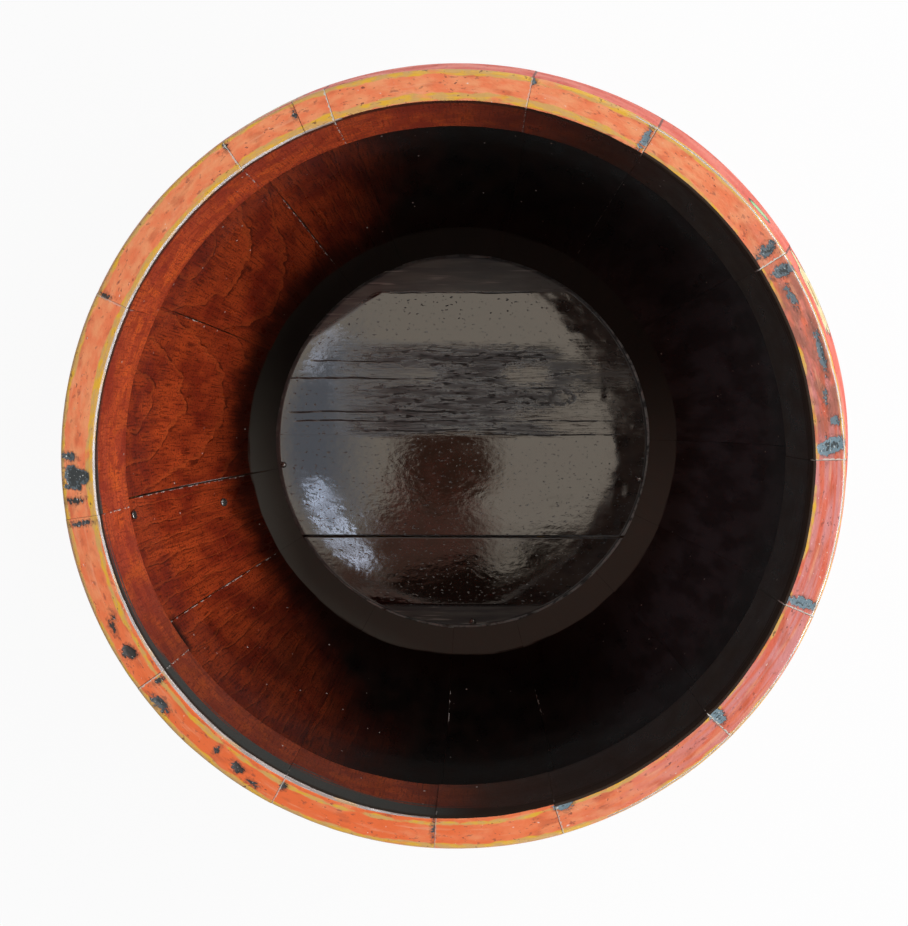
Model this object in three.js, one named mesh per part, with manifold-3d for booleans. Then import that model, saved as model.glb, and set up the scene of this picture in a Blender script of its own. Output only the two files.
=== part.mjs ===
// A round rice bucket, coopered from fifteen lacquered staves around a boarded floor and bound by two hoops.
// Millimetres, +Z up. The origin is the middle of the plane that the foot stands on.
import * as THREE from "three";
import { mergeVertices } from "three/addons/utils/BufferGeometryUtils.js";
import Module from "manifold-3d";

// Body: three heights stacked from the foot to the rim
const FOOT_HEIGHT = 22; // upright foot below the rounded body
const LOWER_RISE = 125; // top of the foot to the widest level
const UPPER_RISE = 93; // widest level to the rim

// Body: radii and walls
const RIM_RADIUS = 144; // outside of the mouth
const RIM_WALL = 12.4; // width of the rim's top face with its rounded edges
const RIM_ROUND = 2; // rounding of both rim edges
const LIP_DEPTH = 34; // straight lip inside the mouth
const UNDERCUT_HEIGHT = 16; // below the lip the hollow cuts back to the wall over this height
const BELLY_SWELL = 23; // how far the belly stands out past the rim
const BELLY_WALL = 12; // stave thickness at the belly
const FOOT_WALL = 15; // stave thickness at the foot

// Seams between the staves: their directions at the rim, anticlockwise from +X
const SEAM_DEG = [1, 32.5, 58.5, 78, 108.5, 113.5, 125, 154, 188, 215.5, 242, 267.5, 287, 316, 337.5];
const LEANING_SEAM = 9; // this seam steps sideways between the lip and the belly
const SEAM_LEAN_DEG = -5;
const JOINT_GAP = 0.3; // open space in every glued or driven joint

// Floor
const FLOOR_RADIUS = 105; // edge of the floor as seen from inside
const FLOOR_LIFT = 12; // underside of the floor above the resting plane
const FLOOR_THICKNESS = 13;
const CROZE_DEPTH = 5; // groove in the staves that holds the floor
const FLOOR_EDGE_GAP = 0.8; // space left in the groove around the floor
const FLOOR_JOINTS_Y = [-53, 4.5, 36.5]; // joints between the floor boards

// Bamboo pins inside the joints
const STAVE_PIN_DIAMETER = 5;
const STAVE_PIN_LENGTH = 18;
const STAVE_PIN_HIGH_DROP = 27; // below the widest level, for every other pin around the body
const STAVE_PIN_LOW_DROP = 62; // and for the pins between them
const FLOOR_PIN_DIAMETER = 5;
const FLOOR_PIN_LENGTH = 22;
const FLOOR_PIN_SPACING = 90; // between the two pins of one joint

// Hoops and their rivets
const HOOP_THICKNESS = 1.6;
const FOOT_HOOP_WIDTH = 14;
const FOOT_HOOP_LIFT = 4; // lower edge above the resting plane
const BELLY_HOOP_WIDTH = 16;
const BELLY_HOOP_DROP = 20; // upper edge below the widest level
const HOOP_LAP_DEG = 225; // where the overlapping ends of each hoop begin
const RIVET_DIAMETER = 4;
const RIVET_HEAD_DIAMETER = 7;
const RIVET_HEAD_HEIGHT = 2;

// Iron nails in one stave, by direction and drop, and tacks along the edge of the floor, by direction
const NAIL_DIAMETER = 2;
const NAIL_LENGTH = 7;
const NAIL_HEAD_DIAMETER = 4.4;
const NAIL_HEAD_HEIGHT = 1;
const NAIL_HEAD_GAP = 0.6; // under the head, over the facets of the wall
const LOWER_NAIL_DROP = 85; // below the widest level
const UPPER_NAIL_DROP = 11;
const NAILS = [
  { deg: 193.5, drop: LOWER_NAIL_DROP },
  { deg: 191, drop: UPPER_NAIL_DROP },
];
const NAILED_STAVE = 8;
const TACK_DIAMETER = 1.6;
const TACK_LENGTH = 8;
const TACK_HEAD_DIAMETER = 3.6;
const TACK_HEAD_HEIGHT = 1.2;
const TACK_INSET = 3; // from the edge of the floor to the middle of a tack
const TACKS_DEG = [187, 273.5, 348.5];

// Facets
const FACET_DEG = 7.5;
const LOWER_STEPS = 6;
const UPPER_STEPS = 4;
const EDGE_STEPS = 2;
const HOOP_STEPS = 60;
const HOOP_LAP_STEPS = 2;
const PIN_SIDES = 10;
const HEAD_SIDES = 12;
const BOARD_ARC_STEPS = 10;

// Levels and radii that follow from the sizes above
const BELLY_Z = FOOT_HEIGHT + LOWER_RISE;
const RIM_Z = BELLY_Z + UPPER_RISE;
const LIP_Z = RIM_Z - LIP_DEPTH;
const HOLLOW_Z = LIP_Z - UNDERCUT_HEIGHT;
const FLOOR_TOP = FLOOR_LIFT + FLOOR_THICKNESS;
const GROOVE_TOP = FLOOR_TOP + JOINT_GAP;
const GROOVE_BOTTOM = FLOOR_LIFT - JOINT_GAP;
const LIP_RADIUS = RIM_RADIUS - RIM_WALL;
const BELLY_RADIUS = RIM_RADIUS + BELLY_SWELL;
const FOOT_RADIUS = FLOOR_RADIUS + FOOT_WALL;
const GROOVE_RADIUS = FLOOR_RADIUS + CROZE_DEPTH;
const DISC_RADIUS = GROOVE_RADIUS - FLOOR_EDGE_GAP;

const wasm = await Module();
wasm.setup();

const rad = THREE.MathUtils.degToRad;
const lerp = THREE.MathUtils.lerp;

// A parabola in radius over height, upright at the belly and passing through its other end.
function swell(z, bellyRadius, endZ, endRadius) {
  const part = (z - BELLY_Z) / (endZ - BELLY_Z);
  return bellyRadius - (bellyRadius - endRadius) * part * part;
}

// Outside of the body at a height.
function outerRadius(z) {
  if (z <= FOOT_HEIGHT) return FOOT_RADIUS;
  if (z <= BELLY_Z) return swell(z, BELLY_RADIUS, FOOT_HEIGHT, FOOT_RADIUS);
  return swell(z, BELLY_RADIUS, RIM_Z, RIM_RADIUS);
}

// Inside of the hollow at a height between the floor and the undercut.
function innerRadius(z) {
  if (z >= BELLY_Z) return outerRadius(z) - BELLY_WALL;
  return swell(z, BELLY_RADIUS - BELLY_WALL, GROOVE_TOP, FLOOR_RADIUS);
}

// Points on a wall from one height towards another, without the first.
function wallPoints(radiusAt, fromZ, toZ, steps) {
  return Array.from({ length: steps }, (_, k) => {
    const z = lerp(fromZ, toZ, (k + 1) / steps);
    return new THREE.Vector2(radiusAt(z), z);
  });
}

// A rounded corner from one point to another around the sharp corner that it takes off.
function roundedCorner(from, corner, to) {
  return new THREE.QuadraticBezierCurve(from, corner, to).getPoints(EDGE_STEPS);
}

// Section of a stave, radius by height: up the outside, over the rim and down the inside to the foot.
function staveSection() {
  const point = (radius, z) => new THREE.Vector2(radius, z);
  const shoulderZ = RIM_Z - RIM_ROUND;
  return new THREE.Shape([
    point(FOOT_RADIUS, 0),
    point(FOOT_RADIUS, FOOT_HEIGHT),
    ...wallPoints(outerRadius, FOOT_HEIGHT, BELLY_Z, LOWER_STEPS),
    ...wallPoints(outerRadius, BELLY_Z, shoulderZ, UPPER_STEPS).slice(0, -1),
    ...roundedCorner(
      point(outerRadius(shoulderZ), shoulderZ),
      point(RIM_RADIUS, RIM_Z),
      point(RIM_RADIUS - RIM_ROUND, RIM_Z),
    ),
    ...roundedCorner(
      point(LIP_RADIUS + RIM_ROUND, RIM_Z),
      point(LIP_RADIUS, RIM_Z),
      point(LIP_RADIUS, shoulderZ),
    ),
    point(LIP_RADIUS, LIP_Z),
    point(innerRadius(HOLLOW_Z), HOLLOW_Z),
    ...wallPoints(innerRadius, HOLLOW_Z, BELLY_Z, UPPER_STEPS),
    ...wallPoints(innerRadius, BELLY_Z, GROOVE_TOP, LOWER_STEPS),
    point(GROOVE_RADIUS, GROOVE_TOP),
    point(GROOVE_RADIUS, GROOVE_BOTTOM),
    point(FLOOR_RADIUS, GROOVE_BOTTOM),
    point(FLOOR_RADIUS, 0),
  ]);
}

// A section in radius and height, swept around +Z. place(part, radius, z) gives the direction and radius
// of a point of the section at a part, from 0 to 1, of the way round.
function sweptAround(section, steps, place) {
  const geometry = new THREE.ExtrudeGeometry(section, { depth: 1, steps, bevelEnabled: false });
  const position = geometry.getAttribute("position");
  for (let i = 0; i < position.count; i++) {
    const z = position.getY(i);
    // Running the sweep backwards keeps the faces pointing out.
    const { angle, radius } = place(1 - position.getZ(i), position.getX(i), z);
    position.setXYZ(i, radius * Math.cos(angle), radius * Math.sin(angle), z);
  }
  geometry.computeVertexNormals();
  return geometry;
}

// A geometry as a solid for cutting.
function solidFrom(geometry) {
  const bare = geometry.clone();
  bare.deleteAttribute("normal");
  bare.deleteAttribute("uv");
  const merged = mergeVertices(bare, 1e-4);
  return new wasm.Manifold(
    new wasm.Mesh({
      numProp: 3,
      vertProperties: new Float32Array(merged.getAttribute("position").array),
      triVerts: new Uint32Array(merged.index.array),
    }),
  );
}

// A geometry with holes, each one a geometry in the same frame.
function drilled(geometry, holes) {
  let solid = solidFrom(geometry);
  for (const hole of holes) solid = solid.subtract(solidFrom(hole));
  const mesh = solid.getMesh();
  const result = new THREE.BufferGeometry();
  result.setAttribute("position", new THREE.BufferAttribute(mesh.vertProperties, 3));
  result.setIndex(new THREE.BufferAttribute(mesh.triVerts, 1));
  result.computeVertexNormals();
  return result;
}

// A place on the object: a point, and the direction that a pin or nail there points its +Y.
function placeAt(point, direction) {
  const turn = new THREE.Quaternion().setFromUnitVectors(new THREE.Vector3(0, 1, 0), direction.normalize());
  return { point, turn };
}

function placeMesh(mesh, place) {
  mesh.position.copy(place.point);
  mesh.quaternion.copy(place.turn);
  return mesh;
}

function placedGeometry(geometry, place) {
  const matrix = new THREE.Matrix4().compose(place.point, place.turn, new THREE.Vector3(1, 1, 1));
  return geometry.clone().applyMatrix4(matrix);
}

function polar(radius, angle, z) {
  return new THREE.Vector3(radius * Math.cos(angle), radius * Math.sin(angle), z);
}

// A round pin about its own middle, along Y, with an allowance all over for the hole that takes it.
function pinGeometry(diameter, length, allowance = 0) {
  const radius = diameter / 2 + allowance;
  return new THREE.CylinderGeometry(radius, radius, length + 2 * allowance, PIN_SIDES);
}

// A nail, tack or rivet along Y: its shank below the surface at Y = 0, its domed head a gap above it.
function headedPin({ diameter, length, headDiameter, headHeight, headGap }) {
  const shank = diameter / 2;
  const head = headDiameter / 2;
  const dome = new THREE.QuadraticBezierCurve(
    new THREE.Vector2(head, headGap),
    new THREE.Vector2(head, headGap + headHeight),
    new THREE.Vector2(0, headGap + headHeight),
  );
  const profile = [
    new THREE.Vector2(0, -length),
    new THREE.Vector2(shank, -length),
    new THREE.Vector2(shank, headGap),
    ...dome.getPoints(EDGE_STEPS + 1),
  ];
  return new THREE.LatheGeometry(profile, HEAD_SIDES);
}

// The hole for a headed pin, open at the surface.
function shankHole({ diameter, length }) {
  const radius = diameter / 2 + JOINT_GAP;
  return new THREE.CylinderGeometry(radius, radius, 2 * (length + JOINT_GAP), HEAD_SIDES);
}

// Finishes, as plain colours
const redLacquer = { color: "#a8391f", roughness: 0.3, metalness: 0 };
const darkLacquer = { color: "#2a1712", roughness: 0.25, metalness: 0 };
const bamboo = { color: "#c9a667", roughness: 0.7, metalness: 0 };
const blackIron = { color: "#3a3634", roughness: 0.5, metalness: 0.9 };

function namedMesh(name, geometry, finish) {
  const mesh = new THREE.Mesh(geometry, new THREE.MeshStandardMaterial(finish));
  mesh.name = name;
  return mesh;
}

const twoDigits = (n) => String(n).padStart(2, "0");

// Direction of a seam at a height. Seams past the last one count on into the next turn.
function seamAngle(index, z) {
  const count = SEAM_DEG.length;
  const seam = index % count;
  const turns = Math.floor(index / count);
  const stepped = THREE.MathUtils.clamp((LIP_Z - z) / (LIP_Z - BELLY_Z), 0, 1);
  const lean = seam === LEANING_SEAM ? SEAM_LEAN_DEG * stepped : 0;
  return rad(SEAM_DEG[seam] + lean + 360 * turns);
}

// Where the pin of a seam lies: in the middle of the wall, square to the seam.
function stavePinPlace(seam) {
  const index = seam % SEAM_DEG.length;
  const z = BELLY_Z - (index % 2 === 0 ? STAVE_PIN_HIGH_DROP : STAVE_PIN_LOW_DROP);
  const radius = (outerRadius(z) + innerRadius(z)) / 2;
  const angle = seamAngle(index, z);
  return placeAt(polar(radius, angle, z), new THREE.Vector3(-Math.sin(angle), Math.cos(angle), 0));
}

const nailShape = {
  diameter: NAIL_DIAMETER,
  length: NAIL_LENGTH,
  headDiameter: NAIL_HEAD_DIAMETER,
  headHeight: NAIL_HEAD_HEIGHT,
  headGap: NAIL_HEAD_GAP,
};

// A nail stands square on the wall of the hollow and points to the middle of the bucket.
function nailPlace({ deg, drop }) {
  const height = BELLY_Z - drop;
  const reach = NAIL_HEAD_DIAMETER / 2;
  const rise = (innerRadius(height + reach) - innerRadius(height - reach)) / (2 * reach);
  const angle = rad(deg);
  const direction = new THREE.Vector3(-Math.cos(angle), -Math.sin(angle), rise);
  return placeAt(polar(innerRadius(height), angle, height), direction);
}

function makeStaves() {
  const staves = new THREE.Group();
  const section = staveSection();
  const pinHole = pinGeometry(STAVE_PIN_DIAMETER, STAVE_PIN_LENGTH, JOINT_GAP);
  SEAM_DEG.forEach((_, index) => {
    const width = seamAngle(index + 1, RIM_Z) - seamAngle(index, RIM_Z);
    const steps = Math.max(1, Math.round(width / rad(FACET_DEG)));
    const blank = sweptAround(section, steps, (part, radius, z) => {
      const gap = JOINT_GAP / 2 / radius;
      const angle = lerp(seamAngle(index, z) + gap, seamAngle(index + 1, z) - gap, part);
      return { angle, radius };
    });
    const holes = [index, index + 1].map((seam) => placedGeometry(pinHole, stavePinPlace(seam)));
    if (index === NAILED_STAVE) {
      for (const nail of NAILS) holes.push(placedGeometry(shankHole(nailShape), nailPlace(nail)));
    }
    staves.add(namedMesh("stave_" + twoDigits(index + 1), drilled(blank, holes), redLacquer));
  });
  return staves;
}

function makeStavePins() {
  const pins = new THREE.Group();
  SEAM_DEG.forEach((_, index) => {
    const geometry = pinGeometry(STAVE_PIN_DIAMETER, STAVE_PIN_LENGTH);
    const pin = namedMesh("stave_pin_" + twoDigits(index + 1), geometry, bamboo);
    pins.add(placeMesh(pin, stavePinPlace(index)));
  });
  return pins;
}

function makeNails() {
  const nails = new THREE.Group();
  NAILS.forEach((nail, index) => {
    const mesh = namedMesh("wall_nail_" + (index + 1), headedPin(nailShape), blackIron);
    nails.add(placeMesh(mesh, nailPlace(nail)));
  });
  return nails;
}

// Outline of a floor board: the part of the floor's disc between two heights on the Y axis.
function boardOutline(lowY, highY) {
  const low = Math.asin(lowY / DISC_RADIUS);
  const high = Math.asin(highY / DISC_RADIUS);
  const outline = new THREE.Shape();
  outline.absarc(0, 0, DISC_RADIUS, low, high, false);
  outline.absarc(0, 0, DISC_RADIUS, Math.PI - high, Math.PI - low, false);
  outline.closePath();
  return outline;
}

// The pins of the floor lie along Y across each joint, in the middle of the boards' thickness.
function floorPinPlaces(jointY) {
  const z = FLOOR_LIFT + FLOOR_THICKNESS / 2;
  return [-0.5, 0.5].map((side) =>
    placeAt(new THREE.Vector3(side * FLOOR_PIN_SPACING, jointY, z), new THREE.Vector3(0, 1, 0)),
  );
}

const tackShape = {
  diameter: TACK_DIAMETER,
  length: TACK_LENGTH,
  headDiameter: TACK_HEAD_DIAMETER,
  headHeight: TACK_HEAD_HEIGHT,
  headGap: JOINT_GAP,
};

function tackPlace(deg) {
  return placeAt(polar(FLOOR_RADIUS - TACK_INSET, rad(deg), FLOOR_TOP), new THREE.Vector3(0, 0, 1));
}

function makeFloor() {
  const floor = new THREE.Group();
  const edges = [-DISC_RADIUS, ...FLOOR_JOINTS_Y, DISC_RADIUS];
  const pinHole = pinGeometry(FLOOR_PIN_DIAMETER, FLOOR_PIN_LENGTH, JOINT_GAP);
  const holes = [
    ...FLOOR_JOINTS_Y.flatMap(floorPinPlaces).map((place) => placedGeometry(pinHole, place)),
    ...TACKS_DEG.map((deg) => placedGeometry(shankHole(tackShape), tackPlace(deg))),
  ];
  for (let board = 0; board < edges.length - 1; board++) {
    const lowY = board === 0 ? edges[0] : edges[board] + JOINT_GAP / 2;
    const highY = board === edges.length - 2 ? edges[board + 1] : edges[board + 1] - JOINT_GAP / 2;
    const blank = new THREE.ExtrudeGeometry(boardOutline(lowY, highY), {
      depth: FLOOR_THICKNESS,
      bevelEnabled: false,
      curveSegments: BOARD_ARC_STEPS,
    });
    blank.translate(0, 0, FLOOR_LIFT);
    floor.add(namedMesh("floor_board_" + (board + 1), drilled(blank, holes), darkLacquer));
  }
  FLOOR_JOINTS_Y.flatMap(floorPinPlaces).forEach((place, index) => {
    const geometry = pinGeometry(FLOOR_PIN_DIAMETER, FLOOR_PIN_LENGTH);
    floor.add(placeMesh(namedMesh("floor_pin_" + (index + 1), geometry, bamboo), place));
  });
  TACKS_DEG.forEach((deg, index) => {
    const tack = namedMesh("floor_tack_" + (index + 1), headedPin(tackShape), blackIron);
    floor.add(placeMesh(tack, tackPlace(deg)));
  });
  return floor;
}

const rivetShape = {
  diameter: RIVET_DIAMETER,
  length: 2 * HOOP_THICKNESS + JOINT_GAP,
  headDiameter: RIVET_HEAD_DIAMETER,
  headHeight: RIVET_HEAD_HEIGHT,
  headGap: JOINT_GAP,
};

// A hoop is one strip around the body between two heights. Its end steps out over its beginning, and two
// rivets go through both layers.
function makeHoop(name, lowZ, highZ) {
  const hoop = new THREE.Group();
  const bulge = outerRadius((lowZ + highZ) / 2) - (outerRadius(lowZ) + outerRadius(highZ)) / 2;
  const gap = JOINT_GAP + Math.max(0, bulge);
  const lowRadius = outerRadius(lowZ) + gap;
  const highRadius = outerRadius(highZ) + gap;
  const section = new THREE.Shape([
    new THREE.Vector2(lowRadius, lowZ),
    new THREE.Vector2(lowRadius + HOOP_THICKNESS, lowZ),
    new THREE.Vector2(highRadius + HOOP_THICKNESS, highZ),
    new THREE.Vector2(highRadius, highZ),
  ]);
  const lapOffset = HOOP_THICKNESS + JOINT_GAP;
  const stepAngle = (2 * Math.PI) / HOOP_STEPS;
  const start = rad(HOOP_LAP_DEG);
  const steps = HOOP_STEPS + HOOP_LAP_STEPS;
  const strip = sweptAround(section, steps, (part, radius) => {
    const step = part * steps;
    const offset = lapOffset * THREE.MathUtils.clamp(step - HOOP_STEPS + 1, 0, 1);
    // The corners stand outside the circle that the flats touch.
    return { angle: start + step * stepAngle, radius: (radius + offset) / Math.cos(stepAngle / 2) };
  });
  const rivetRadius = (lowRadius + highRadius) / 2 + lapOffset + HOOP_THICKNESS;
  const slope = (highRadius - lowRadius) / (highZ - lowZ);
  const places = Array.from({ length: HOOP_LAP_STEPS }, (_, k) => {
    const angle = start + (k + 0.5) * stepAngle;
    const point = polar(rivetRadius, angle, (lowZ + highZ) / 2);
    return placeAt(point, polar(1, angle, -slope));
  });
  const holes = places.map((place) => placedGeometry(shankHole(rivetShape), place));
  hoop.add(namedMesh(name, drilled(strip, holes), blackIron));
  places.forEach((place, index) => {
    const rivet = namedMesh(name + "_rivet_" + (index + 1), headedPin(rivetShape), blackIron);
    hoop.add(placeMesh(rivet, place));
  });
  return hoop;
}

const bellyHoopTop = BELLY_Z - BELLY_HOOP_DROP;
const bucket = new THREE.Group();
bucket.name = "rice_bucket";
bucket.add(
  makeStaves(),
  makeStavePins(),
  makeNails(),
  makeFloor(),
  makeHoop("foot_hoop", FOOT_HOOP_LIFT, FOOT_HOOP_LIFT + FOOT_HOOP_WIDTH),
  makeHoop("belly_hoop", bellyHoopTop - BELLY_HOOP_WIDTH, bellyHoopTop),
);

export default bucket;
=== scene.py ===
"""Looks of a coopered rice bucket: lacquered staves, a boarded floor, iron hoops, nails and bamboo pins.

The file is laid out as an add-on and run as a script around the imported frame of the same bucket.
Lengths are metres in the bucket's own frame, +Z up, with the foot standing at Z = 0. Directions are
measured anticlockwise from +X. Small sizes are written in millimetres times MM.
"""

import functools
import math

import bpy
import numpy as np
from mathutils import Matrix, Vector


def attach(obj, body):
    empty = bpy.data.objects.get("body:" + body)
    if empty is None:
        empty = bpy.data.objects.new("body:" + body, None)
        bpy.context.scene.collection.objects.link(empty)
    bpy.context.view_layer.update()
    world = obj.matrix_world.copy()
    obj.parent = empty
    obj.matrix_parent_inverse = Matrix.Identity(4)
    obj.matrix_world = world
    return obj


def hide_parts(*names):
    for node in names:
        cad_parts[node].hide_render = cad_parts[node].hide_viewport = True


bl_info = {
    "name": "Lacquered rice bucket",
    "version": (1, 0, 0),
    "blender": (4, 5, 0),
    "location": "3D View > Sidebar > Rice bucket",
    "description": "Dresses the packed frame of a coopered rice bucket in worn lacquer, wood and iron",
    "category": "Object",
}

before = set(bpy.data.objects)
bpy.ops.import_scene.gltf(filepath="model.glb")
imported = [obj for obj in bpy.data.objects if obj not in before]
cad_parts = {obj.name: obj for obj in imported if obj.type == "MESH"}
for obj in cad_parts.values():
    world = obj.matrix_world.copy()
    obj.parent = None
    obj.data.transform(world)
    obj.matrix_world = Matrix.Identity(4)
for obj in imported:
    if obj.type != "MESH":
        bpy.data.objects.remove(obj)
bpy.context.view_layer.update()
MM = 0.001
PER_MM = 1000.0
IMAGE_WIDTH = 908
IMAGE_HEIGHT = 926
STAVE_COUNT = 15
BOARD_COUNT = 4
PATTERN_RADIUS = 150 * MM  # where widths across the staves are measured for the patterns
RIM, EDGE, INSIDE, OUTSIDE, BARE = range(5)  # order of a stave's finishes

# Chips and stains on the rim: direction in degrees, then in millimetres the radius, half the length along
# the rim, half the width across it and the depth, and last how pale the bared ground is, from 0 to 1.
RIM_CHIPS = (
    (181.6, 139.8, 4.6, 4.6, 0.9, 0.35),
    (178.7, 141.8, 1.7, 2.6, 0.5, 0.3),
    (185.3, 141.2, 1.2, 3.0, 0.0, 0.0),
    (188.9, 139.2, 0.8, 4.6, 0.3, 0.15),
    (210.3, 139.3, 2.9, 2.4, 1.3, 0.0),
    (205.6, 140.6, 2.6, 0.9, 0.3, 0.0),
    (219.4, 141.4, 4.4, 1.8, 1.0, 0.25),
    (216.4, 135.6, 1.0, 1.8, 0.3, 0.1),
    (204.0, 138.6, 1.6, 0.7, 0.2, 0.0),
    (230.6, 138.2, 1.0, 1.8, 0.3, 0.1),
    (234.7, 139.3, 2.5, 1.8, 1.1, 0.05),
    (238.0, 141.2, 2.0, 1.0, 0.0, 0.1),
    (242.5, 136.4, 1.5, 1.6, 0.9, 0.05),
    (267.2, 136.8, 0.5, 2.6, 0.0, 0.2),
    (288.2, 134.2, 3.0, 1.8, 0.4, 0.9),
    (317.0, 136.0, 2.5, 3.4, 0.4, 1.0),
    (338.8, 138.8, 1.8, 5.0, 0.5, 0.9),
    (3.2, 139.4, 3.5, 4.2, 0.5, 0.95),
    (6.8, 141.4, 1.8, 2.0, 0.2, 0.7),
    (17.8, 141.0, 8.0, 1.1, 0.3, 0.55),
    (10.5, 139.0, 3.0, 0.8, 0.0, 0.5),
    (30.6, 139.6, 2.5, 4.6, 0.4, 0.5),
    (34.4, 138.6, 2.5, 4.0, 0.3, 0.45),
    (26.6, 138.4, 4.2, 1.3, 0.0, 0.5),
    (59.3, 138.6, 1.3, 4.8, 0.4, 0.8),
    (77.8, 142.6, 0.9, 1.5, 0.3, 0.5),
    (113.9, 140.0, 0.9, 1.8, 0.3, 0.2),
    (125.2, 142.4, 0.9, 1.9, 0.5, 0.0),
    (153.7, 142.0, 1.0, 2.0, 0.5, 0.0),
)

# Seams that have opened along the wall, by the stave that follows them: how far each side has drawn back, in
# millimetres, and the heights between which it has.
SEAM_OPENINGS = {
    7: (0.2, 44, 112),
    8: (0.24, 56, 122),
    9: (0.38, 26, 146),
    10: (0.16, 44, 146),
    12: (0.14, 40, 96),
    13: (0.1, 45, 110),
}

# Pale marks in the seams: filler at the rim and lip, and on the wall a painted highlight along one edge of
# the opened cracks. The stave that follows the seam, the two heights between which it shows, and how much of
# it is left, from 0 to 1.
FILLER_AND_HIGHLIGHT_SEAMS = (
    (1, 236, 243, 0.8),
    (2, 236, 243, 1.0),
    (3, 40, 150, 0.16),
    (3, 236, 243, 0.6),
    (4, 207, 243, 0.45),
    (5, 205, 243, 0.9),
    (7, 46, 104, 0.75),
    (7, 212, 243, 0.8),
    (8, 92, 104, 0.9),
    (8, 232, 243, 0.35),
    (9, 46, 128, 0.8),
    (9, 205, 234, 0.8),
    (10, 44, 144, 0.85),
    (10, 206, 243, 0.7),
    (11, 234, 243, 0.6),
    (12, 60, 84, 0.7),
    (12, 234, 243, 0.4),
    (13, 70, 86, 0.7),
    (13, 234, 243, 0.55),
    (14, 234, 243, 1.0),
    (15, 234, 243, 1.0),
)

# Staves sawn flat enough to show nested growth rings: the direction in degrees and the height in millimetres
# that the rings close around, how much flatter than round they are, and their spacing in millimetres.
FLAMED_STAVES = {
    7: (143.0, 142.0, 0.5, 15.0),
    8: (171.0, 140.0, 0.54, 15.0),
}

# Rings on the other staves: degrees from the stave's middle to where they close, the mean height there and
# how far it varies from stave to stave in millimetres, how much flatter than round they are, and their
# spacing.
PLAIN_RING_TURN = 22
PLAIN_RING_HEIGHT = 140
PLAIN_RING_VARIES = 13
PLAIN_RING_FLATNESS = 0.03
PLAIN_RING_SPACING = 9.0

# Staves whose rim takes the inside finish along its inner edge, and with it the inside's painted shade.
DARK_EDGED_STAVES = (13, 14, 15, 1, 2)

# What changes round the mouth, by direction in degrees. In millimetres: the depth of the black stroke under
# the inner edge, how far the rim's inner painted line ends and starts from the edge, and the width of the
# outer line. From 0 to 1: how dark the lip and the wall are painted, which is painted shade on the side
# turned from the window.
STROKE = (
    (0, 6), (30, 5), (60, 2), (90, -4), (140, -1), (172, 2), (192, 4.5), (215, 8.5), (243, 13),
    (264, 12), (284, 6), (300, 6), (335, 6),
)
INNER_LINE = (
    (0, 2.0), (45, 2.0), (58, 2.3), (66, 3.0), (92, 3.2), (105, 3.2), (145, 2.6), (165, 3.2), (190, 3.4),
    (205, 3.6), (228, 3.8), (250, 3.6), (266, 3.0), (285, 2.8), (300, 2.3), (335, 2.0),
)
INNER_GAP = (
    (0, 1.0), (62, 0.9), (84, 0.4), (104, 0), (185, 0), (200, 2.0), (225, 2.2), (250, 2.4), (264, 1.4),
)
OUTER_LINE = (
    (0, 1.2), (35, 1.2), (60, 2.2), (90, 2.2), (120, 1.6), (180, 1.7), (205, 1.6), (240, 1.8),
    (270, 2.1), (300, 1.8), (330, 1.3),
)
LIP_SHADE = (
    (50, 1), (66, 0.93), (82, 0.6), (96, 0.1), (120, 0), (196, 0), (214, 0.5), (240, 0.62), (260, 0.6),
    (276, 0.96), (290, 1),
)
WALL_SHADE = (
    (92, 1), (104, 0.86), (116, 0.36), (130, 0.16), (150, 0.08), (166, 0), (206, 0), (222, 0.35), (240, 0.66),
    (252, 0.9), (262, 1),
)

# Painted blossoms: their middles round the shoulder in degrees, and in millimetres the bucket's radius there,
# their height, their own mean radius, how far the petals' tips stand out from it, and the heart's radius.
BLOSSOMS = (25, 119, 208, 299)
BLOSSOM_RADIUS = 158
BLOSSOM_HEIGHT = 205
BLOSSOM_SIZE = 17.5
PETAL_DEPTH = 2.8
HEART_SIZE = 4.6

# Leaves beside each blossom: lean in radians, then in millimetres the place beside and above the blossom's
# middle, half the length and half the width.
LEAVES = (
    (1.1, 40, 16, 11, 5.5),
    (0.6, 30, -28, 16, 6),
    (-0.6, -30, -28, 16, 6),
    (0.2, 52, -40, 14, 5),
    (-0.2, -52, -40, 14, 5),
)

# The joint of the floor that has opened, on Y.
CRACK_Y = -53 * MM

# Dark lines along the grain of the floor, where a joint shows or the plane tore a step: their place on Y, the
# two ends on X and half their width, all in millimetres.
FLOOR_LINES = (
    (36.5, -100, -10, 0.35),
    (46.2, -86, -30, 0.25),
    (48.6, -30, 50, 0.3),
    (31.0, 36, 62, 0.4),
    (17.6, -99, 20, 0.4),
    (12.4, -96, 92, 0.3),
    (7.2, -60, 30, 0.4),
    (4.5, -6, 94, 0.25),
    (84.2, -42, 50, 0.3),
)

# Where a hoop's strip starts, how far its end laps over that, and how far before the lap it steps out.
HOOP_START = math.radians(225)
HOOP_LAP = math.radians(12)
HOOP_LIFT = math.radians(6)

# Small lights overhead, which the floor mirrors along its left edge: name, place over the mouth in metres,
# power in watts, width and length in metres, and turn in degrees.
CEILING_LIGHTS = (
    ("near_light", (-0.369, -0.307, 2.1), 0.07, (0.02, 0.27), 34),
    ("far_light", (-0.353, 0.112, 2.1), 0.016, (0.03, 0.12), -34),
)

WINDOW_WHITE = "#F8FBFF"
CEILING_WHITE = "#D6E4FF"
PAPER_HALF = 4.0  # half the side of the paper floor
SHARP_EDGE = math.radians(40)  # edges that turn by more than this are shaded sharp

# Settings that every node of a kind has here.
NODE_SETTINGS = {"MapRange": {"interpolation_type": "SMOOTHSTEP"}, "Mix": {"data_type": "RGBA"}}


def linear(code):
    """Linear red, green, blue and full alpha of an sRGB hex colour."""
    parts = (int(code[k : k + 2], 16) / 255 for k in (1, 3, 5))
    return (*(c / 12.92 if c <= 0.04045 else ((c + 0.055) / 1.055) ** 2.4 for c in parts), 1.0)


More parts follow.
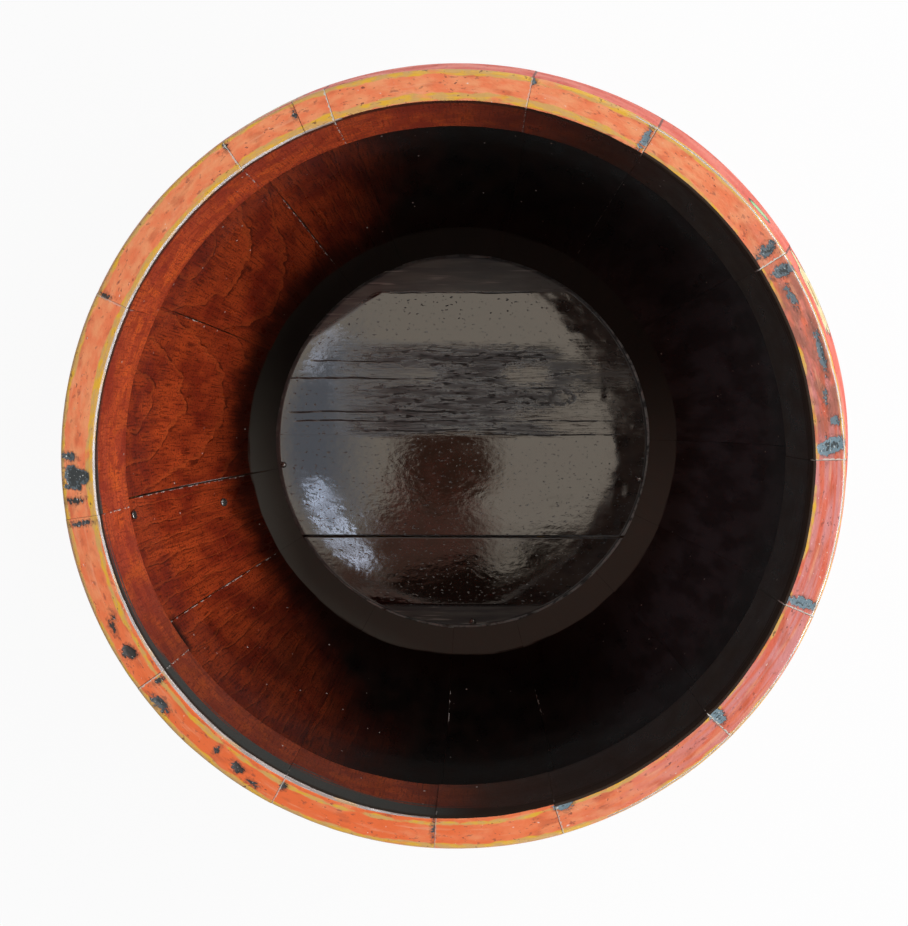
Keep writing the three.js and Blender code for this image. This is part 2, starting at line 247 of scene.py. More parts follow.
def length(name, description, millimetres):
    """A size that a user may change, given in millimetres."""
    return bpy.props.FloatProperty(
        name=name, description=description, default=millimetres * MM, unit="LENGTH", precision=5
    )


def angle(name, description, degrees):
    """An angle that a user may change, given in degrees."""
    return bpy.props.FloatProperty(
        name=name, description=description, default=math.radians(degrees), subtype="ANGLE"
    )


def power(name, description, watts):
    """The power of a lamp that a user may change."""
    return bpy.props.FloatProperty(name=name, description=description, default=watts, unit="POWER")


def colour(name, description, code):
    """A colour that a user may change, given as an sRGB hex value."""
    return bpy.props.FloatVectorProperty(
        name=name, description=description, default=linear(code), subtype="COLOR", size=4, min=0, max=1
    )


class BucketShape(bpy.types.PropertyGroup):
    """Sizes that the bucket's surfaces follow."""

    foot_height: length("Foot height", "Upright foot below the rounded body", 22)
    belly_height: length("Belly height", "Height of the widest level", 147)
    rim_height: length("Rim height", "Height of the rim's top", 240)
    foot_radius: length("Foot radius", "Outside of the foot", 120)
    belly_radius: length("Belly radius", "Outside at the widest level", 167)
    rim_radius: length("Rim radius", "Outside of the mouth", 144)
    shoulder_slope: bpy.props.FloatProperty(
        name="Shoulder slope", description="Growth of the radius per length below the rim", default=0.36
    )
    rim_wall: length("Rim width", "Width of the rim with its edges", 11.5)
    lip_lean: length("Lip lean", "How far the lip opens from its lower edge up to the rim", 0.9)
    mouth_shift: length("Mouth shift", "How far the rim's outer edge stands out of true", 1.0)
    belly_wall: length("Belly wall", "Thickness of a stave at the belly", 12)
    lip_height: length("Lip height", "Lower edge of the straight lip", 206)
    hollow_height: length("Hollow height", "Where the undercut meets the wall", 190)
    floor_radius: length("Floor radius", "Edge of the floor as seen from inside", 105)
    floor_top: length("Floor top", "Height of the floor's upper face", 25)
    floor_low: length("Floor underside", "Height of the floor's lower face", 12)
    groove_depth: length("Groove depth", "Groove in the staves that holds the floor", 5)
    joint_gap: length("Joint gap", "Open space in every joint of the solids", 0.3)
    seam_gap: length("Seam gap", "Hairline left between the lacquered staves", 0.02)
    band_height: length("Band height", "Upper edge of the black band above the floor", 41)
    edge_round: length("Stave edges", "Rounding of the long edges of a stave", 0.1)
    shaving: length("Shaving", "Unevenness left by the drawknife", 0.35)
    hoop_thickness: length("Hoop thickness", "Thickness of the iron strip", 1.6)


class BucketFinish(bpy.types.PropertyGroup):
    """Colours of the bucket's finishes."""

    rim_red: colour("Rim red", "Worn orange-red lacquer of the rim", "#F98252")
    # The deeper red lies on the rim's side towards -X and -Y; the pink towards +X is partly bloomed lacquer
    # and partly painted sheen.
    rim_fresh: colour("Fresh red", "Deeper red on the side of the rim that has worn least", "#F87238")
    rim_chalk_sheen: colour("Chalky red", "Bloomed pink on the side of the rim that has worn most", "#E08C86")
    rim_gold: colour("Rim gold", "Ochre lines along both edges of the rim", "#DDAA62")
    rim_bright: colour("Bright gold", "Freshest strokes of the rim's lines", "#EFB634")
    chip_grey: colour("Chip grey", "Blue-grey ground where lacquer has flaked off", "#7C929C")
    chip_black: colour("Chip black", "Deepest part of a chip", "#1F211F")
    lip_red: colour("Lip red", "Orange-red of the lip inside the mouth", "#F0662F")
    # Wall red is the inside on the side towards the window; wall shade black is painted shade on the side
    # turned from it.
    wall_red: colour("Wall red", "Red-brown lacquer inside, where it is thin", "#CC5026")
    wall_shade_black: colour("Wall dark", "Black-brown lacquer inside, where it is thick", "#0F0B09")
    band_black: colour("Band black", "Black band above the floor", "#302C26")
    outside_red: colour("Outside red", "Salmon-red lacquer outside", "#F06A4C")
    petal: colour("Petal", "Pale yellow of the painted blossoms", "#F1E7AC")
    leaf: colour("Leaf", "Green of the painted leaves", "#8CC884")
    outline: colour("Outline", "Dark brush line around the painting", "#2A2220")
    floor_brown: colour("Floor brown", "Brown-black lacquer of the floor boards", "#1E120E")
    bare_wood: colour("Bare wood", "Fir in the joints and under the floor", "#8A6440")
    iron: colour("Iron", "Blackened hoop iron", "#3B3735")
    nail: colour("Nail iron", "Iron of nails and tacks, worn bright on the heads", "#A5A29D")
    bamboo: colour("Bamboo", "Split bamboo of the hidden pins", "#C9A667")


class BucketStage(bpy.types.PropertyGroup):
    """The light, the floor under the bucket and the camera."""

    window_power: power("Window power", "Power of the broad light in the middle", 25)
    bank_power: power("Bank power", "Power of the narrow light on either side of it", 10)
    window_direction: angle("Window direction", "Where the broad light stands", 3)
    bank_turn: angle("Bank turn", "From the broad light to the narrow one on either side", 55)
    window_elevation: angle("Window elevation", "Height of the three lights over the mouth", 36)
    window_distance: length("Window distance", "From the mouth to the three lights", 1900)
    window_width: length("Window width", "Width of the broad light", 2200)
    window_height: length("Window height", "Height of the broad light", 300)
    bank_width: length("Bank width", "Width of a narrow light", 1900)
    bank_height: length("Bank height", "Height of a narrow light", 140)
    sky: bpy.props.FloatProperty(name="Sky", description="Strength of the soft light all round", default=0.22)
    camera_place: bpy.props.FloatVectorProperty(
        name="Camera place",
        description="Where the camera stands over the mouth",
        default=(12.2 * MM, 24.92 * MM, 644.33 * MM),
        subtype="TRANSLATION",
    )
    camera_lean: angle("Camera lean", "Sideways lean of the view from straight down", -1.545)
    camera_tilt: angle("Camera tilt", "Lean of the view towards the bottom of the picture", -3.352)
    focal_pixels: bpy.props.FloatProperty(
        name="Focal length in pixels", description="At the picture's own size", default=1100
    )


# Shapes


def eased(value, low, high):
    """Smooth step from 0 at low to 1 at high."""
    part = np.clip((value - low) / (high - low), 0, 1)
    return part * part * (3 - 2 * part)


def steps(low, high, size):
    """Even steps from low to high, no longer than size."""
    return np.linspace(low, high, int(np.ceil((high - low) / size)) + 1)


def turned(direction, degrees):
    """Angle from a direction given in degrees, between minus and plus half a turn."""
    return np.angle(np.exp(1j * (direction - math.radians(degrees))))


def around(direction, degrees, half_width):
    """1 about a direction in degrees, easing to 0 at a half width in degrees."""
    off = np.degrees(np.abs(turned(direction, degrees)))
    return 1 - eased(off, 0.3 * half_width, half_width)


def round_mouth(pairs, direction):
    """Value at a direction, read straight between pairs of degrees and values that go once round."""
    degrees, values = zip(*pairs)
    return np.interp(np.degrees(direction), degrees, values, period=360)


def noise(points, size, seed):
    """Smooth noise from -1 to 1: random numbers on the corners of cubes of a size, eased between them."""
    cell = points / size + 0.37 * seed
    low = np.floor(cell).astype(np.int64)
    part = cell - low
    part = part**3 * (part * (part * 6 - 15) + 10)
    total = np.zeros(len(points))
    for corner in np.ndindex(2, 2, 2):
        place = low + corner
        code = place[:, 0] * 73856093 ^ place[:, 1] * 19349663 ^ place[:, 2] * 83492791 ^ seed * 668265263
        code = (code ^ (code >> 13)) * 1274126177 & 0xFFFFFFFF
        value = ((code ^ (code >> 15)) & 0xFFFF) / 32767.5 - 1
        total += value * np.where(corner, part, 1 - part).prod(axis=1)
    return total


def polar(radius, direction, height):
    """Points from radii, directions and heights."""
    return np.stack([radius * np.cos(direction), radius * np.sin(direction), height], axis=-1)


def edge_drop(distance, rounding):
    """Depth of a rounded edge at a distance from it: a quarter circle that ends level with the face."""
    part = 1 - np.clip(distance / rounding, 0, 1)
    return rounding * (1 - np.sqrt(1 - part * part))


def block_skin(counts):
    """Skin of a block of grid points with three counts.

    Gives the grid place of each point of the skin, the skin's quads, and the side that each quad is on: 0 and
    1 for the two ends of the first direction, then 2 and 3, then 4 and 5. The quads face out where the three
    directions make a right-handed set.
    """
    places = np.indices(counts)
    last = np.reshape(counts, (3, 1, 1, 1)) - 1
    on_skin = ((places == 0) | (places == last)).any(axis=0)
    number = np.full(counts, -1)
    number[on_skin] = np.arange(on_skin.sum())
    quads, sides = [], []
    for axis in range(3):
        for end in (0, -1):
            sheet = np.take(number, end, axis=axis)
            corners = (sheet[:-1, :-1], sheet[1:, :-1], sheet[1:, 1:], sheet[:-1, 1:])
            quad = np.stack(corners, axis=-1).reshape(-1, 4)
            turned_in = (end == 0) != (axis == 1)
            quads.append(quad[:, ::-1] if turned_in else quad)
            sides.append(np.full(len(quad), 2 * axis + (end == -1)))
    return places[:, on_skin].T, np.concatenate(quads), np.concatenate(sides)


def lathe(profile, sides):
    """A profile of radii and heights turned around +Z, from axis to axis, with fans that close both ends."""
    turn = np.linspace(0, 2 * np.pi, sides, endpoint=False)
    rings = polar(profile[1:-1, :1], turn, profile[1:-1, 1:] + 0 * turn).reshape(-1, 3)
    points = np.concatenate([[[0, 0, profile[0, 1]]], rings, [[0, 0, profile[-1, 1]]]])
    ring = np.arange(sides)
    after = np.roll(ring, -1)
    start = 1 + sides * np.arange(len(profile) - 2)[:, None]
    quads = np.stack([start + ring, start + after, start + after + sides, start + ring + sides], axis=-1)
    first = np.stack([0 * ring, 1 + after, 1 + ring], axis=-1)
    last = np.stack([start[-1] + ring, start[-1] + after, 0 * ring + len(points) - 1], axis=-1)
    return points, first.tolist() + quads[:-1].reshape(-1, 4).tolist() + last.tolist()


def node_points(node):
    """Points of a CAD solid."""
    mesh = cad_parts[node].data
    points = np.empty(len(mesh.vertices) * 3, np.float32)
    mesh.vertices.foreach_get("co", points)
    return points.reshape(-1, 3).astype(float)


def make_piece(name, points, faces, materials, slot, node, face_material=None, attributes=None):
    """A mesh piece at the origin that rides on the body and stands for a CAD node; its slot is not used."""
    mesh = bpy.data.meshes.new(name)
    mesh.from_pydata(np.asarray(points).tolist(), [], faces if isinstance(faces, list) else faces.tolist())
    for material in materials:
        mesh.materials.append(material)
    if face_material is not None:
        mesh.polygons.foreach_set("material_index", np.asarray(face_material, np.int32))
    for key, values in (attributes or {}).items():
        layer = mesh.attributes.new(key, "FLOAT_VECTOR", "POINT")
        layer.data.foreach_set("vector", np.asarray(values, np.float32).ravel())
    mesh.polygons.foreach_set("use_smooth", np.ones(len(mesh.polygons), bool))
    mesh.set_sharp_from_angle(angle=SHARP_EDGE)
    mesh.update()
    piece = bpy.data.objects.new(name, mesh)
    bpy.context.scene.collection.objects.link(piece)
    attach(piece, "root")
    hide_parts(node)


def swell(height, shape, belly, end_height, end_radius):
    """A parabola in radius over height, upright at the belly and passing through its other end."""
    part = (height - shape.belly_height) / (end_height - shape.belly_height)
    return belly - (belly - end_radius) * part * part


def bevel_share(direction):
    """1 on the side towards -X, where the rim's inner edge is worn to a bevel, and 0 on the other side."""
    return 1 - eased(np.abs(turned(direction, 187)), math.radians(66), math.radians(84))


def bevel_width(direction):
    """Width of the worn inner bevel, wider about one direction."""
    return MM * (0.7 + 0.35 * around(direction, 232, 34))


def inner_bevel(depth, direction):
    """How far the rim's inner edge draws in at a depth below the top: a small rounding, or the worn bevel."""
    small = MM * np.interp(depth / MM, (0, 0.06, 0.15, 0.4, 0.7), (0.5, 0.34, 0.2, 0.04, 0))
    wide = bevel_width(direction)
    worn = wide * np.interp(depth / wide, (0, 0.06, 0.15, 0.9, 1.1, 1.7), (1.5, 1.2, 1.05, 0.06, 0.02, 0))
    return small + (worn - small) * bevel_share(direction)


def outer_edge(depth, direction):
    """How far the rim's outer edge draws in: a small rounding, and a worn bevel on the side towards +X."""
    small = np.interp(depth / MM, (0, 0.08, 0.25, 0.6, 1.0), (0.9, 0.55, 0.3, 0.08, 0))
    worn = np.interp(depth / MM, (0, 0.05, 0.25, 0.4, 0.8, 1.4), (1.15, 0.9, 0.3, 0.18, 0.05, 0))
    share = 1 - eased(np.abs(turned(direction, -2)), math.radians(55), math.radians(75))
    return (small + (worn - small) * share) * MM


def mouth_offset(height, direction, shape):
    """How far the outside is out of true: two waves round the rim, and a shoulder flatter on two sides."""
    wave = 0.55 - 0.3 * np.cos(direction) - 0.2 * np.sin(direction)
    wave += 0.35 * np.cos(2 * direction) - 0.3 * np.sin(2 * direction)
    rim = shape.mouth_shift * wave * eased(height, shape.lip_height, shape.rim_height - 2 * MM)
    flatter = 0.065 * around(direction, 98, 45) + 0.09 * around(direction, -36, 48)
    shoulder = eased(height, shape.belly_height - 15 * MM, shape.hollow_height)
    return rim - flatter * shoulder * (outside_radius(height, shape) - shape.rim_radius)


def outside_radius(height, shape):
    """Outside of the body: an upright foot, two parabolas that meet at the belly, and a straight shoulder."""
    lower = swell(height, shape, shape.belly_radius, shape.foot_height, shape.foot_radius)
    upper = swell(height, shape, shape.belly_radius, shape.rim_height, shape.rim_radius)
    shoulder = shape.rim_radius + shape.shoulder_slope * (shape.rim_height - height)
    radius = np.where(height <= shape.belly_height, lower, np.minimum(upper, shoulder))
    return np.where(height <= shape.foot_height, shape.foot_radius, radius)


def groove_sides(shape):
    """Lower and upper side of the groove that holds the floor."""
    return shape.floor_low - shape.joint_gap, shape.floor_top + shape.joint_gap


def inside_radius(height, shape):
    """Inside: the foot, the groove of the floor, the hollow wall, the undercut and the straight lip."""
    groove_low, groove_top = groove_sides(shape)
    lip_top = shape.rim_radius - shape.rim_wall
    lip = lip_top - shape.lip_lean
    belly = shape.belly_radius - shape.belly_wall
    mouth = shape.rim_radius - shape.belly_wall
    lower = swell(height, shape, belly, groove_top, shape.floor_radius)
    upper = swell(height, shape, belly, shape.rim_height, mouth)
    radius = np.where(height <= shape.belly_height, lower, upper)
    bevel = 0.8 * MM
    hollow = swell(shape.hollow_height, shape, belly, shape.rim_height, mouth)
    turns = (shape.hollow_height, shape.lip_height - bevel, shape.lip_height + bevel, shape.rim_height)
    undercut = np.interp(height, turns, (hollow, lip + 1.5 * bevel, lip, lip_top))
    radius = np.where(height > shape.hollow_height, undercut, radius)
    in_groove = (height > groove_low) & (height < groove_top)
    radius = np.where(height < groove_top, shape.floor_radius, radius)
    return np.where(in_groove, shape.floor_radius + shape.groove_depth, radius)


def stave_heights(shape):
    """Levels of a stave's grid: close together where its section turns, wider along its plain stretches."""
    step = 0.05 * MM
    turn = 1.2 * MM
    groove_low, groove_top = groove_sides(shape)
    top = np.array([2.7, 2.0, 1.6, 1.35, 1.1, 0.9, 0.7, 0.55, 0.45, 0.3, 0.22, 0.15, 0.09, 0.06, 0.03, 0])
    stretches = (
        (0, groove_low - step, 2.5),
        (groove_low + step, groove_top - step, 3),
        (groove_top + step, shape.band_height, 1.6),
        (shape.band_height, shape.hollow_height, 1.7),
        (shape.hollow_height, shape.lip_height - turn, 2),
        (shape.lip_height - turn, shape.lip_height + turn, 0.4),
        (shape.lip_height + turn, shape.rim_height - top[0] * MM, 1.1),
    )
    levels = [steps(low, high, size * MM) for low, high, size in stretches]
    return np.unique(np.concatenate([*levels, shape.rim_height - top * MM]).round(7))


def stave_span(number, shape):
    """Directions of a stave's two edges at the rim and at the belly, read from its CAD solid."""
    points = node_points(f"stave_{number:02d}")
    middle = points.mean(axis=0)
    centre = math.atan2(middle[1], middle[0])
    turn = turned(np.arctan2(points[:, 1], points[:, 0]), math.degrees(centre))
    spans = []
    for level in (shape.rim_height, shape.belly_height):
        near = np.abs(points[:, 2] - level) < 0.3 * MM
        spans.append((centre + turn[near].min(), centre + turn[near].max()))
    return spans


def seam_opening(number, height):
    """How far each side of a seam has drawn back at a height, easing in and out over its length."""
    if number not in SEAM_OPENINGS:
        return np.zeros_like(height)
    depth, low, high = SEAM_OPENINGS[number]
    level = height * PER_MM
    return depth * MM * eased(level, low, low + 14) * (1 - eased(level, high - 14, high))


def filler_and_highlight(number, height):
    """Pale in a seam at a height, 0 to 1: filler at the rim, painted highlight on the wall's cracks."""
    level = height * PER_MM
    total = np.zeros_like(height)
    for seam, low, high, share in FILLER_AND_HIGHLIGHT_SEAMS:
        if seam == number:
            here = eased(level, low - 2, low + 2) * (1 - eased(level, high - 2, high + 2))
            total = np.maximum(total, share * here)
    return total


def chip_marks(direction, radius, points):
    """Millimetres to the nearest chip on the rim, less than 0 inside it, its depth and its paleness.

    Each chip is an ellipse along the rim made uneven by noise, and the distance is taken from how much larger
    an ellipse of the same shape passes through the point.
    """
    ragged = 0.45 * noise(points, 2.6 * MM, 71) + 0.25 * noise(points, 1.2 * MM, 72)
    nearest = np.full(len(direction), 6.0)
    depth = np.zeros(len(direction))
    pale = np.zeros(len(direction))
    for degrees, middle, half_length, half_width, deep, paleness in RIM_CHIPS:
        along = turned(direction, degrees) * middle / half_length
        across = (radius * PER_MM - middle) / half_width
        distance = (np.hypot(along, across) - 1 + ragged) * min(half_length, half_width)
        depth = np.maximum(depth, deep * (1 - eased(distance, -1.2, 0.4)))
        pale = np.where(distance < nearest, paleness, pale)
        nearest = np.minimum(nearest, distance)
    return nearest, depth * MM, pale


def ring_count(number, direction, height, centre):
    """Growth rings counted across a stave: nested ellipses on flamed staves, straight lines on others."""
    aside = math.degrees(centre) - PLAIN_RING_TURN
    level = PLAIN_RING_HEIGHT + PLAIN_RING_VARIES * math.sin(37 * number)
    plain = (aside, level, PLAIN_RING_FLATNESS, PLAIN_RING_SPACING)
    degrees, level, flat, spacing = FLAMED_STAVES.get(number, plain)
    across = turned(direction, degrees) * PATTERN_RADIUS * PER_MM
    along = flat * (height * PER_MM - level)
    return np.hypot(across, along) / spacing


def painted_shade_inside(direction, height, points, shape):
    """How dark the inside is painted, from 0 on the red side to 1 on the black side.

    The black is painted shade on the side turned from the window. It is read round the mouth, for the lip and
    for the wall, with the painted shade reaching further low down, a stain on one stave, and noise for a soft
    uneven edge.
    """
    ragged = 0.1 * noise(points, 26 * MM, 5) + 0.05 * noise(points, 9 * MM, 6)
    low = 1 - eased(height, 50 * MM, 140 * MM)
    wall = round_mouth(WALL_SHADE, direction)
    wall = wall + (ragged + 0.3 * low * (wall > 0.1)) * 4 * wall * (1 - wall)
    stain = around(direction, 213.4, 5.5) * (1 - eased(np.abs(height - 146 * MM), 5 * MM, 15 * MM))
    wall = np.maximum(wall, stain)
    lip = round_mouth(LIP_SHADE, direction)
    on_lip = eased(height, shape.hollow_height, shape.lip_height)
    return np.clip(wall + (lip - wall) * on_lip, 0, 1)


def painted_distances(direction, height):
    """Distances in millimetres to the painted blossoms and leaves, less than 0 inside them.

    A blossom is a circle with five lobes. A leaf is a pair of arcs that meet in points.
    """
    turns = np.stack([turned(direction, degrees) for degrees in BLOSSOMS])
    nearest = np.abs(turns).argmin(axis=0)
    across = turns[nearest, np.arange(len(direction))] * BLOSSOM_RADIUS
    up = height * PER_MM - BLOSSOM_HEIGHT
    reach = np.hypot(across, up)
    blossom = reach - BLOSSOM_SIZE - PETAL_DEPTH * np.cos(5 * np.arctan2(up, across) + 0.5 + 0.9 * nearest)
    heart = reach - HEART_SIZE
    leaf = np.full(len(direction), 30.0)
    for lean, out, rise, half_length, half_width in LEAVES:
        along = (across - out) * math.cos(lean) + (up - rise) * math.sin(lean)
        wide = np.abs((up - rise) * math.cos(lean) - (across - out) * math.sin(lean))
        leaf = np.minimum(leaf, wide - half_width * (1 - (along / half_length) ** 2))
    return np.stack([np.maximum(blossom, -heart), leaf, heart], axis=-1).clip(-8, 8)


def stave_surface(number, shape):
    """One stave as the skin of a curved block: across its width, up its height and out through its wall.

    The radius runs straight from the inside profile to the outside profile. Noise shaves the faces, the long
    edges are rounded, opened seams draw back, and chips lower the rim.
    """
    heights = stave_heights(shape)
    (rim_low, rim_high), (belly_low, belly_high) = stave_span(number, shape)
    width = (rim_high - rim_low) * shape.rim_radius
    edge = np.array([0, 0.05, 0.1, 0.4, 1.1]) * MM
    inner = steps(edge[-1], width - edge[-1], 1.0 * MM)[1:-1]
    across = np.concatenate([edge, inner, width - edge[::-1]]) / width
    depths = np.linspace(0, 1, 17)
    places, quads, sides = block_skin((len(across), len(heights), len(depths)))
    share = across[places[:, 0]]
    height = heights[places[:, 1]]
    depth = depths[places[:, 2]]

    lean = np.clip((shape.lip_height - height) / (shape.lip_height - shape.belly_height), 0, 1)
    inside = inside_radius(height, shape)
    outside = outside_radius(height, shape)
    middle = 0.5 * (inside + outside)
    following = number % STAVE_COUNT + 1
    closing = 0.5 * (shape.joint_gap - shape.seam_gap)
    low = rim_low + (belly_low - rim_low) * lean + (seam_opening(number, height) - closing) / middle
    high = rim_high + (belly_high - rim_high) * lean - (seam_opening(following, height) - closing) / middle
    direction = low + (high - low) * share
    below_top = shape.rim_height - height
    offset = mouth_offset(height, direction, shape)
    inside = inside + inner_bevel(below_top, direction)
    outside = outside + offset - outer_edge(below_top, direction)

    from_low = share * (high - low) * middle
    from_high = (1 - share) * (high - low) * middle
    from_seam = np.minimum(from_low, from_high)
    drop = edge_drop(from_seam, shape.edge_round)
    base = polar(middle, direction, height)
    tooling = 0.35 * noise(base * (0.35, 0.35, 1.6), 15 * MM, 3)
    shaved_in = shape.shaving * (noise(base, 26 * MM, number) + tooling)
    shaved_out = shape.shaving * 0.5 * (1 + noise(base, 34 * MM, number + 20))
    near_top = eased(height, shape.rim_height - 4 * MM, shape.rim_height - 0.2 * MM)
    above_floor = height > groove_sides(shape)[1]
    inside = inside + above_floor * (drop + shaved_in * (1 - 0.6 * near_top))
    outside = outside - drop - shaved_out
    nicks = noise(base, 5 * MM, 41) * 0.07 * MM * near_top
    radius = inside + nicks + (outside - inside - nicks * (1 + depth)) * depth

    top_points = polar(radius, direction, height)
    chip, chip_depth, chip_pale = chip_marks(direction, radius, top_points)
    worn = 0.22 * MM * (1 + noise(top_points, 16 * MM, 8)) + 0.04 * MM * noise(top_points, 3 * MM, 9)
    step_down = 0.3 * MM * (0.5 + 0.5 * math.sin(2.3 * number))
    points = polar(radius, direction, height - near_top * (drop + chip_depth + worn + step_down))

    def path(radii):
        """Length along a profile up to each of its points."""
        return np.concatenate([[0], np.cumsum(np.hypot(np.diff(radii), np.diff(heights)))])

    inside_path = path(inside_radius(heights, shape))
    outside_path = path(outside_radius(heights, shape))
    over = inside_path[-1] + shape.rim_wall + outside_path[-1] - outside_path[places[:, 1]]
    along = np.where(depth == 1, over, inside_path[places[:, 1]] + shape.rim_wall * depth)
    centre = 0.5 * (rim_low + rim_high)
    across_width = (direction - centre) * PATTERN_RADIUS
    lip = shape.rim_radius - shape.rim_wall
    from_lip = (radius - lip) * PER_MM
    line_start = from_lip - round_mouth(INNER_GAP, direction)
    inner_line = np.minimum(round_mouth(INNER_LINE, direction) - from_lip, line_start)
    outer_line = round_mouth(OUTER_LINE, direction) - (shape.rim_radius + offset - radius) * PER_MM
    pale = np.where(from_low < from_high, filler_and_highlight(number, height), 0)
    stroke = round_mouth(STROKE, direction) - below_top * PER_MM
    shade_paint = painted_shade_inside(direction, height, base, shape)
    attributes = {
        "sheet_mm": (across_width * PER_MM, along * PER_MM, np.full(len(along), 500.0 * number)),
        "marks_mm": ((from_seam + 0.5 * shape.seam_gap) * PER_MM, chip, stroke),
        "tones": (shade_paint, pale, ring_count(number, direction, height, centre)),
        "rim_mm": (inner_line, outer_line, chip_pale),
        "rim_tones": (around(direction, -14, 62), around(direction, 243, 62), around(direction, 18, 22)),
    }
    attributes = {key: np.stack(values, axis=-1) for key, values in attributes.items()}
    attributes["paint_mm"] = painted_distances(direction, height)

    face_depth = shape.rim_height - height[quads].mean(axis=1)
    facing = direction[quads].mean(axis=1)
    wide = bevel_width(facing)
    on_inside = sides == 4
    on_outside = sides == 5
    finish = np.full(len(quads), BARE)
    finish[on_inside & (face_depth < shape.rim_height - shape.floor_top)] = INSIDE
    finish[on_outside & (face_depth < shape.rim_height - 0.4 * MM)] = OUTSIDE
    finish[(sides == 3) | (on_outside & (face_depth < 0.9 * MM))] = RIM
    finish[on_inside & (face_depth < 0.12 * MM)] = RIM
    if number in DARK_EDGED_STAVES:
        finish[(finish == RIM) & (from_lip[quads].mean(axis=1) < 1.0)] = INSIDE
    bevelled = on_inside & (face_depth > 0.12 * wide) & (face_depth < 0.98 * wide)
    finish[bevelled & (bevel_share(facing) > 0.15)] = EDGE
    outer_worn = on_outside & (np.abs(turned(facing, -2)) < math.radians(64))
    finish[outer_worn & (face_depth > 0.05 * MM) & (face_depth < 0.24 * MM)] = EDGE
    return points, quads, finish, attributes


def board_surface(node, shape):
    """One floor board as the skin of a block: along X between the edges of the disc, across Y, up through Z.

    The top has planed bevels towards the two ends of the floor, torn ridges along the grain, an edge that
    bends down towards +X and is dished up towards -X, a rounded shoulder, and shallow hollows from the plane.
    The open joint is drawn back on both sides, and the others are closed.
    """
    solid = node_points(node)
    disc = np.hypot(solid[:, 0], solid[:, 1]).max()
    y_low, y_high = solid[:, 1].min(), solid[:, 1].max()
    far = 0.99 * disc
    first = max(y_low, -disc + 0.02 * MM)
    last = min(y_high, disc - 0.02 * MM)
    edge = np.array([0, 0.12, 0.3, 0.7]) * MM
    inner = steps(first + edge[-1], last - edge[-1], 0.7 * MM)[1:-1]
    rows = np.concatenate([first + edge, inner, last - edge[::-1]])
    ends = np.array([0, 0.004, 0.009, 0.015])
    columns = np.concatenate([ends, np.linspace(0.02, 0.98, 200), 1 - ends[::-1]]) * 2 - 1
    levels = np.array([0, 0.5, 1])
    places, quads, sides = block_skin((len(columns), len(rows), len(levels)))
    y = rows[places[:, 1]]
    x = columns[places[:, 0]] * np.sqrt(disc**2 - y**2)
    level = levels[places[:, 2]]
    flat = np.stack([x, y, 0 * x], axis=-1)
    reach = np.hypot(x, y)

    rough = eased(y, 2 * MM, 8 * MM) * (1 - eased(y, 48 * MM, 60 * MM)) * eased(x, -80 * MM, -28 * MM)
    rough *= 1 - 0.6 * eased(x, 36 * MM, 84 * MM)
    torn = rough * (0.25 + 0.75 * eased(noise(flat * (0.4, 1, 1), 12 * MM, 13), -0.6, 0.3))
    ridges = noise(flat * (0.1, 1, 1), 2.3 * MM, 11) + 0.6 * noise(flat * (0.2, 1, 1), 1.5 * MM, 12)
    top = 0.11 * MM * ridges * (0.02 + torn)
    top += 0.018 * MM * noise(flat * (0.5, 1, 1), 16 * MM, 14)
    knot = np.hypot((x - 56 * MM) / 1.5, y - 25 * MM)
    top += 0.08 * MM * np.cos(knot / (1.0 * MM)) * (1 - eased(knot, 1 * MM, 5 * MM))

    left_of = np.clip(-45 * MM - x, 0, None)
    bevel_line = 84 * MM - 0.68 * left_of
    soft = 0.3 * MM + 5 * MM * eased(left_of, 0, 16 * MM)
    past = np.clip(y - bevel_line, 0, None)
    top -= 0.1 * (np.sqrt(past**2 + soft**2) - soft)
    top -= 0.1 * np.clip(-92 * MM - y, 0, None)

    direction = np.arctan2(y, x)
    edge_reach = shape.floor_radius - 0.3 * MM
    inner_reach = np.minimum(reach, edge_reach)
    rightward = eased(np.cos(turned(direction, -3)), 0.15, 0.75)
    ragged = 2.2 * noise(flat, 9 * MM, 17) + 0.9 * noise(flat, 4 * MM, 18)
    fall = np.clip(inner_reach - (84 - 7 * around(direction, 22, 38) + ragged) * MM, 0, None)
    bend = 9 * MM
    top -= 0.08 * rightward * np.where(fall < bend, fall**2 / (2 * bend), fall - 0.5 * bend)
    leftward = eased(-x, 30 * MM, 70 * MM)
    rise = np.clip(inner_reach - 84 * MM, 0, None) * PER_MM
    top += leftward * MM * (0.00045 * rise**2 + 0.000017 * rise**3)
    top -= edge_drop(edge_reach - reach, 0.5 * MM)

    low_joint = np.where(y_low > -far, y - y_low, 1)
    high_joint = np.where(y_high < far, y_high - y, 1)
    wander = 0.4 * noise(flat * (1, 0, 0), 8 * MM, 23)
    crack = np.ones_like(y)
    for joint, place, inward in ((low_joint, y_low, 1), (high_joint, y_high, -1)):
        opened = abs(place - CRACK_Y) < MM
        gaping = MM * (0.34 + 0.2 * eased(x, 0, 80 * MM)) * (1 + wander)
        drawn = gaping if opened else -0.12 * MM
        y = y + np.where(joint < MM * 10, inward * drawn * (1 - eased(joint, 0, 3 * MM)), 0)
        crack = np.minimum(crack, joint) if opened else crack
    low_z, high_z = solid[:, 2].min(), solid[:, 2].max()
    z = low_z + (high_z - low_z) * level + np.where(level == 1, top, 0)
    attributes = {
        "board_mm": np.stack([x * PER_MM, y * PER_MM, 0 * x], axis=-1),
        "wear": np.stack([torn, crack * PER_MM, (edge_reach - reach) * PER_MM], axis=-1),
    }
    return np.stack([x, y, z], axis=-1), quads, np.where(sides == 5, 0, 1), attributes


